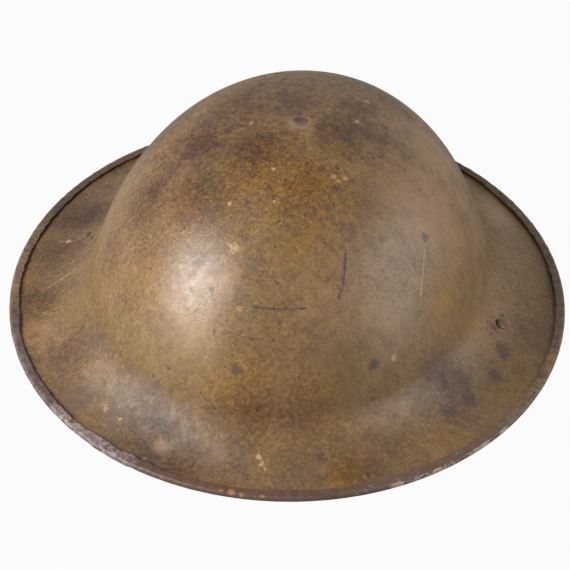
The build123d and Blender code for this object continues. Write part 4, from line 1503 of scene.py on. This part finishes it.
barrel = on_seat(lug_inward, -barrel_depth)
roll = wire_radius + wire_fit + lug_sheet / 2
roll_turns = np.radians(np.linspace(90, -205, 26))
lug_line = [(-lug_outward, -sheet - rivet_seat - lug_sheet / 2)] + [
    (along, -sheet - rivet_seat - lug_sheet / 2) for along in np.linspace(-5, lug_inward - 1, 8)
] + [(lug_inward + roll * math.cos(a), -barrel_depth + roll * math.sin(a)) for a in roll_turns]
lug_path = [on_seat(along, out) for along, out in lug_line]
lug_ups = []
for before, after in zip([lug_path[0]] + lug_path[:-1], lug_path[1:] + [lug_path[-1]]):
    lug_ups.append((after - before).cross(Vector((0, 1, 0))).normalized())
lug_rows = strip_rows(lug_path, lug_ups, lug_width, lug_sheet)
rusty_steel = aged(
    "darkened lightly rusted steel", "#4C443D", "#5B5148", "#6A4530", 3, 0.45, 0.08, 0.75,
)
mirror_side = np.array([-1, 1, 1])
for side, flip in (("right", 1), ("left", mirror_side)):
    lug = closed_piece(f"bail_lug_{side}_rolled", [sleeve(lug_rows * flip)])
    dress(lug, rusty_steel, [f"bail_lug_{side}"])


# Bails: round steel wire bent to a closed loop, which hangs and swings in the rolled end
# of its lug. They are of the lugs' darkened steel.
def loop_path(steps=7):
    half, low = bail_width / 2, -bail_drop
    corner = bail_corner
    flat = np.concatenate([
        [(-half + corner, 0), (0, 0)],
        arc(half - corner, -corner, corner, 90, 0, steps),
        arc(half - corner, low + corner, corner, 0, -90, steps), [(0, low)],
        arc(corner - half, low + corner, corner, 270, 180, steps),
        arc(corner - half, -corner, corner, 180, 96, steps),
    ])
    return np.stack([0 * flat[:, 0] + barrel.x, flat[:, 0], flat[:, 1] + barrel.z], axis=1)


def wire_rows(path, radius, sides=16):
    """Round outlines along a closed loop that lies in a plane square to x."""
    along = np.roll(path, -1, axis=0) - np.roll(path, 1, axis=0)
    along /= np.linalg.norm(along, axis=1, keepdims=True)
    level = np.array([1.0, 0, 0])
    side = np.cross(along, level)
    angle = np.arange(sides) * 2 * math.pi / sides
    ring = level * np.cos(angle)[:, None] + side[:, None] * np.sin(angle)[:, None]
    return mm * (path[:, None] + radius * ring)


bail_rows = wire_rows(loop_path(), wire_radius)
for side, flip in (("right", 1), ("left", mirror_side)):
    bail = closed_piece(f"bail_{side}_wire", [sleeve(bail_rows * flip, closed=True)])
    dress(bail, rusty_steel, [f"bail_{side}"], f"{side}_bail")


# Chin strap: one strap of worn brown leather with rounded edges, half glossy from
# handling. From the slide it runs round the right bail and back across to the left one,
# where its end is riveted.
strap_width, chin_leather = 16.0, 1.8
slide_sheet, slide_length, slide_place, slide_fit = 0.7, 14.0, -30.0, 0.2
tail_length, tail_rivet_inset = 24.0, 6.0
run_low = gap + slide_sheet + slide_fit
upper_low = run_low + chin_leather + gap
low_bar = Vector((barrel.x, 0, barrel.z - bail_drop))
ring_radius = wire_radius + gap + chin_leather


def swing_clear(height):
    radius = bail_drop + ring_radius + gap
    return barrel.x - math.sqrt(radius**2 - (barrel.z - height) ** 2)


def strap_half(start, upper_end):
    """The strap from a place on its lower layer, round the bail, and back above it."""
    turn = wire_radius + gap + chin_leather / 2
    lower = run_low + chin_leather / 2
    upper = upper_low + chin_leather / 2
    flat = [(x, lower) for x in np.linspace(start, low_bar.x - 1, 60)]
    flat += [tuple(point) for point in arc(low_bar.x, low_bar.z, turn, -90, 90, 16)]
    top = low_bar.z + turn
    for share in np.linspace(0.08, 1, 14):
        flat.append((low_bar.x - 15 * share, top + (upper - top) * float(eased(share, 0, 1))))
    flat += [(x, upper) for x in np.linspace(low_bar.x - 16, upper_end, 60)]
    flat = np.array(flat)
    path = np.stack([flat[:, 0], 0 * flat[:, 0], flat[:, 1]], axis=1)
    along = np.gradient(path, axis=0)
    return path, np.cross(along, [0, -1.0, 0])


strap_hide = aged("worn brown strap leather", "#4A2F1E", "#5C3B25", "#2C1D14", 7, 0.5, 0.15)
tail_clear = swing_clear(upper_low + chin_leather + gap)
right_path, right_up = strap_half(slide_place, slide_place - slide_length / 2 - 1)
left_path, left_up = strap_half(-slide_place, tail_clear - tail_length)
right_rows = strip_rows(right_path, right_up, strap_width, chin_leather - 0.05)
left_rows = strip_rows(left_path, left_up, strap_width, chin_leather - 0.05) * mirror_side
for side, rows, nodes in (
    ("right", right_rows, ["strap_end_right", "chinstrap_return", "chinstrap_run"]),
    ("left", left_rows, ["strap_end_left", "chinstrap_tail"]),
):
    strap = closed_piece(f"chin_strap_{side}_leather", [sleeve(rows)])
    cloth_places(strap, strip_cloth(rows))
    dress(strap, strap_hide, nodes, None)
    out = 1 if side == "right" else -1
    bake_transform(strap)


# Strap hardware: a brass slide bent round both layers with its rivet, and the two
# copper rivets of the strap's end.
slide_low, slide_high = run_low - slide_fit, upper_low + chin_leather + slide_fit
half_across = (strap_width / 2) + slide_fit + slide_sheet / 2
low_edge, high_edge = slide_low - slide_sheet / 2, slide_high + slide_sheet / 2
bend = 1.25
slide_flat = np.concatenate([
    arc(half_across - bend, high_edge - bend, bend, 90, 0, 5),
    arc(half_across - bend, low_edge + bend, bend, 0, -90, 5),
    arc(bend - half_across, low_edge + bend, bend, 270, 180, 5),
    arc(bend - half_across, high_edge - bend, bend, 180, 90, 5),
])
slide_half, half_sheet, slide_soft = slide_length / 2, slide_sheet / 2, 0.2
slide_edge = (
    (-slide_half, slide_soft), (slide_soft - slide_half, half_sheet),
    (slide_half - slide_soft, half_sheet), (slide_half, slide_soft),
    (slide_half, -slide_soft), (slide_half - slide_soft, -half_sheet),
    (slide_soft - slide_half, -half_sheet), (-slide_half, -slide_soft),
)
slide_rows = []
for (across, up), along in zip(
    slide_flat, np.roll(slide_flat, -1, axis=0) - np.roll(slide_flat, 1, axis=0),
):
    out = np.array([-along[1], along[0]]) / np.linalg.norm(along)
    slide_rows.append([
        (slide_place + shift, across + out[0] * thick, up + out[1] * thick)
        for shift, thick in slide_edge
    ])
slide = closed_piece("strap_slide_brass", [sleeve(np.array(slide_rows) * mm, closed=True)])
dress(slide, old_brass, ["strap_slide"])
slide_top = slide_high + slide_sheet + rivet_seat
slide_outline = [(0.01, small_head)] + [
    (small_head_radius * math.cos(a), small_head * math.sin(a)) for a in np.radians((75, 50, 25, 0))
] + [(1.4, 0), (1.4, upper_low - slide_top), (0.01, upper_low - slide_top)]
slide_rivet = closed_piece("slide_rivet_brass", [
    placed(turned(slide_outline, 20), (slide_place, 0, slide_top), (0, 0, 1)),
])
dress(slide_rivet, old_brass, ["slide_rivet"])
tail_rise = upper_low + chin_leather + rivet_seat - run_low
parts = [
    small_rivet((place_x, 0, run_low), (0, 0, 1), rivet_seat, tail_rise)
    for place_x in (tail_rivet_inset - tail_clear, tail_length - tail_rivet_inset - tail_clear)
]
tail_rivets = closed_piece("chinstrap_rivets_copper", parts)
dress(tail_rivets, old_copper, ["chinstrap_rivets"])
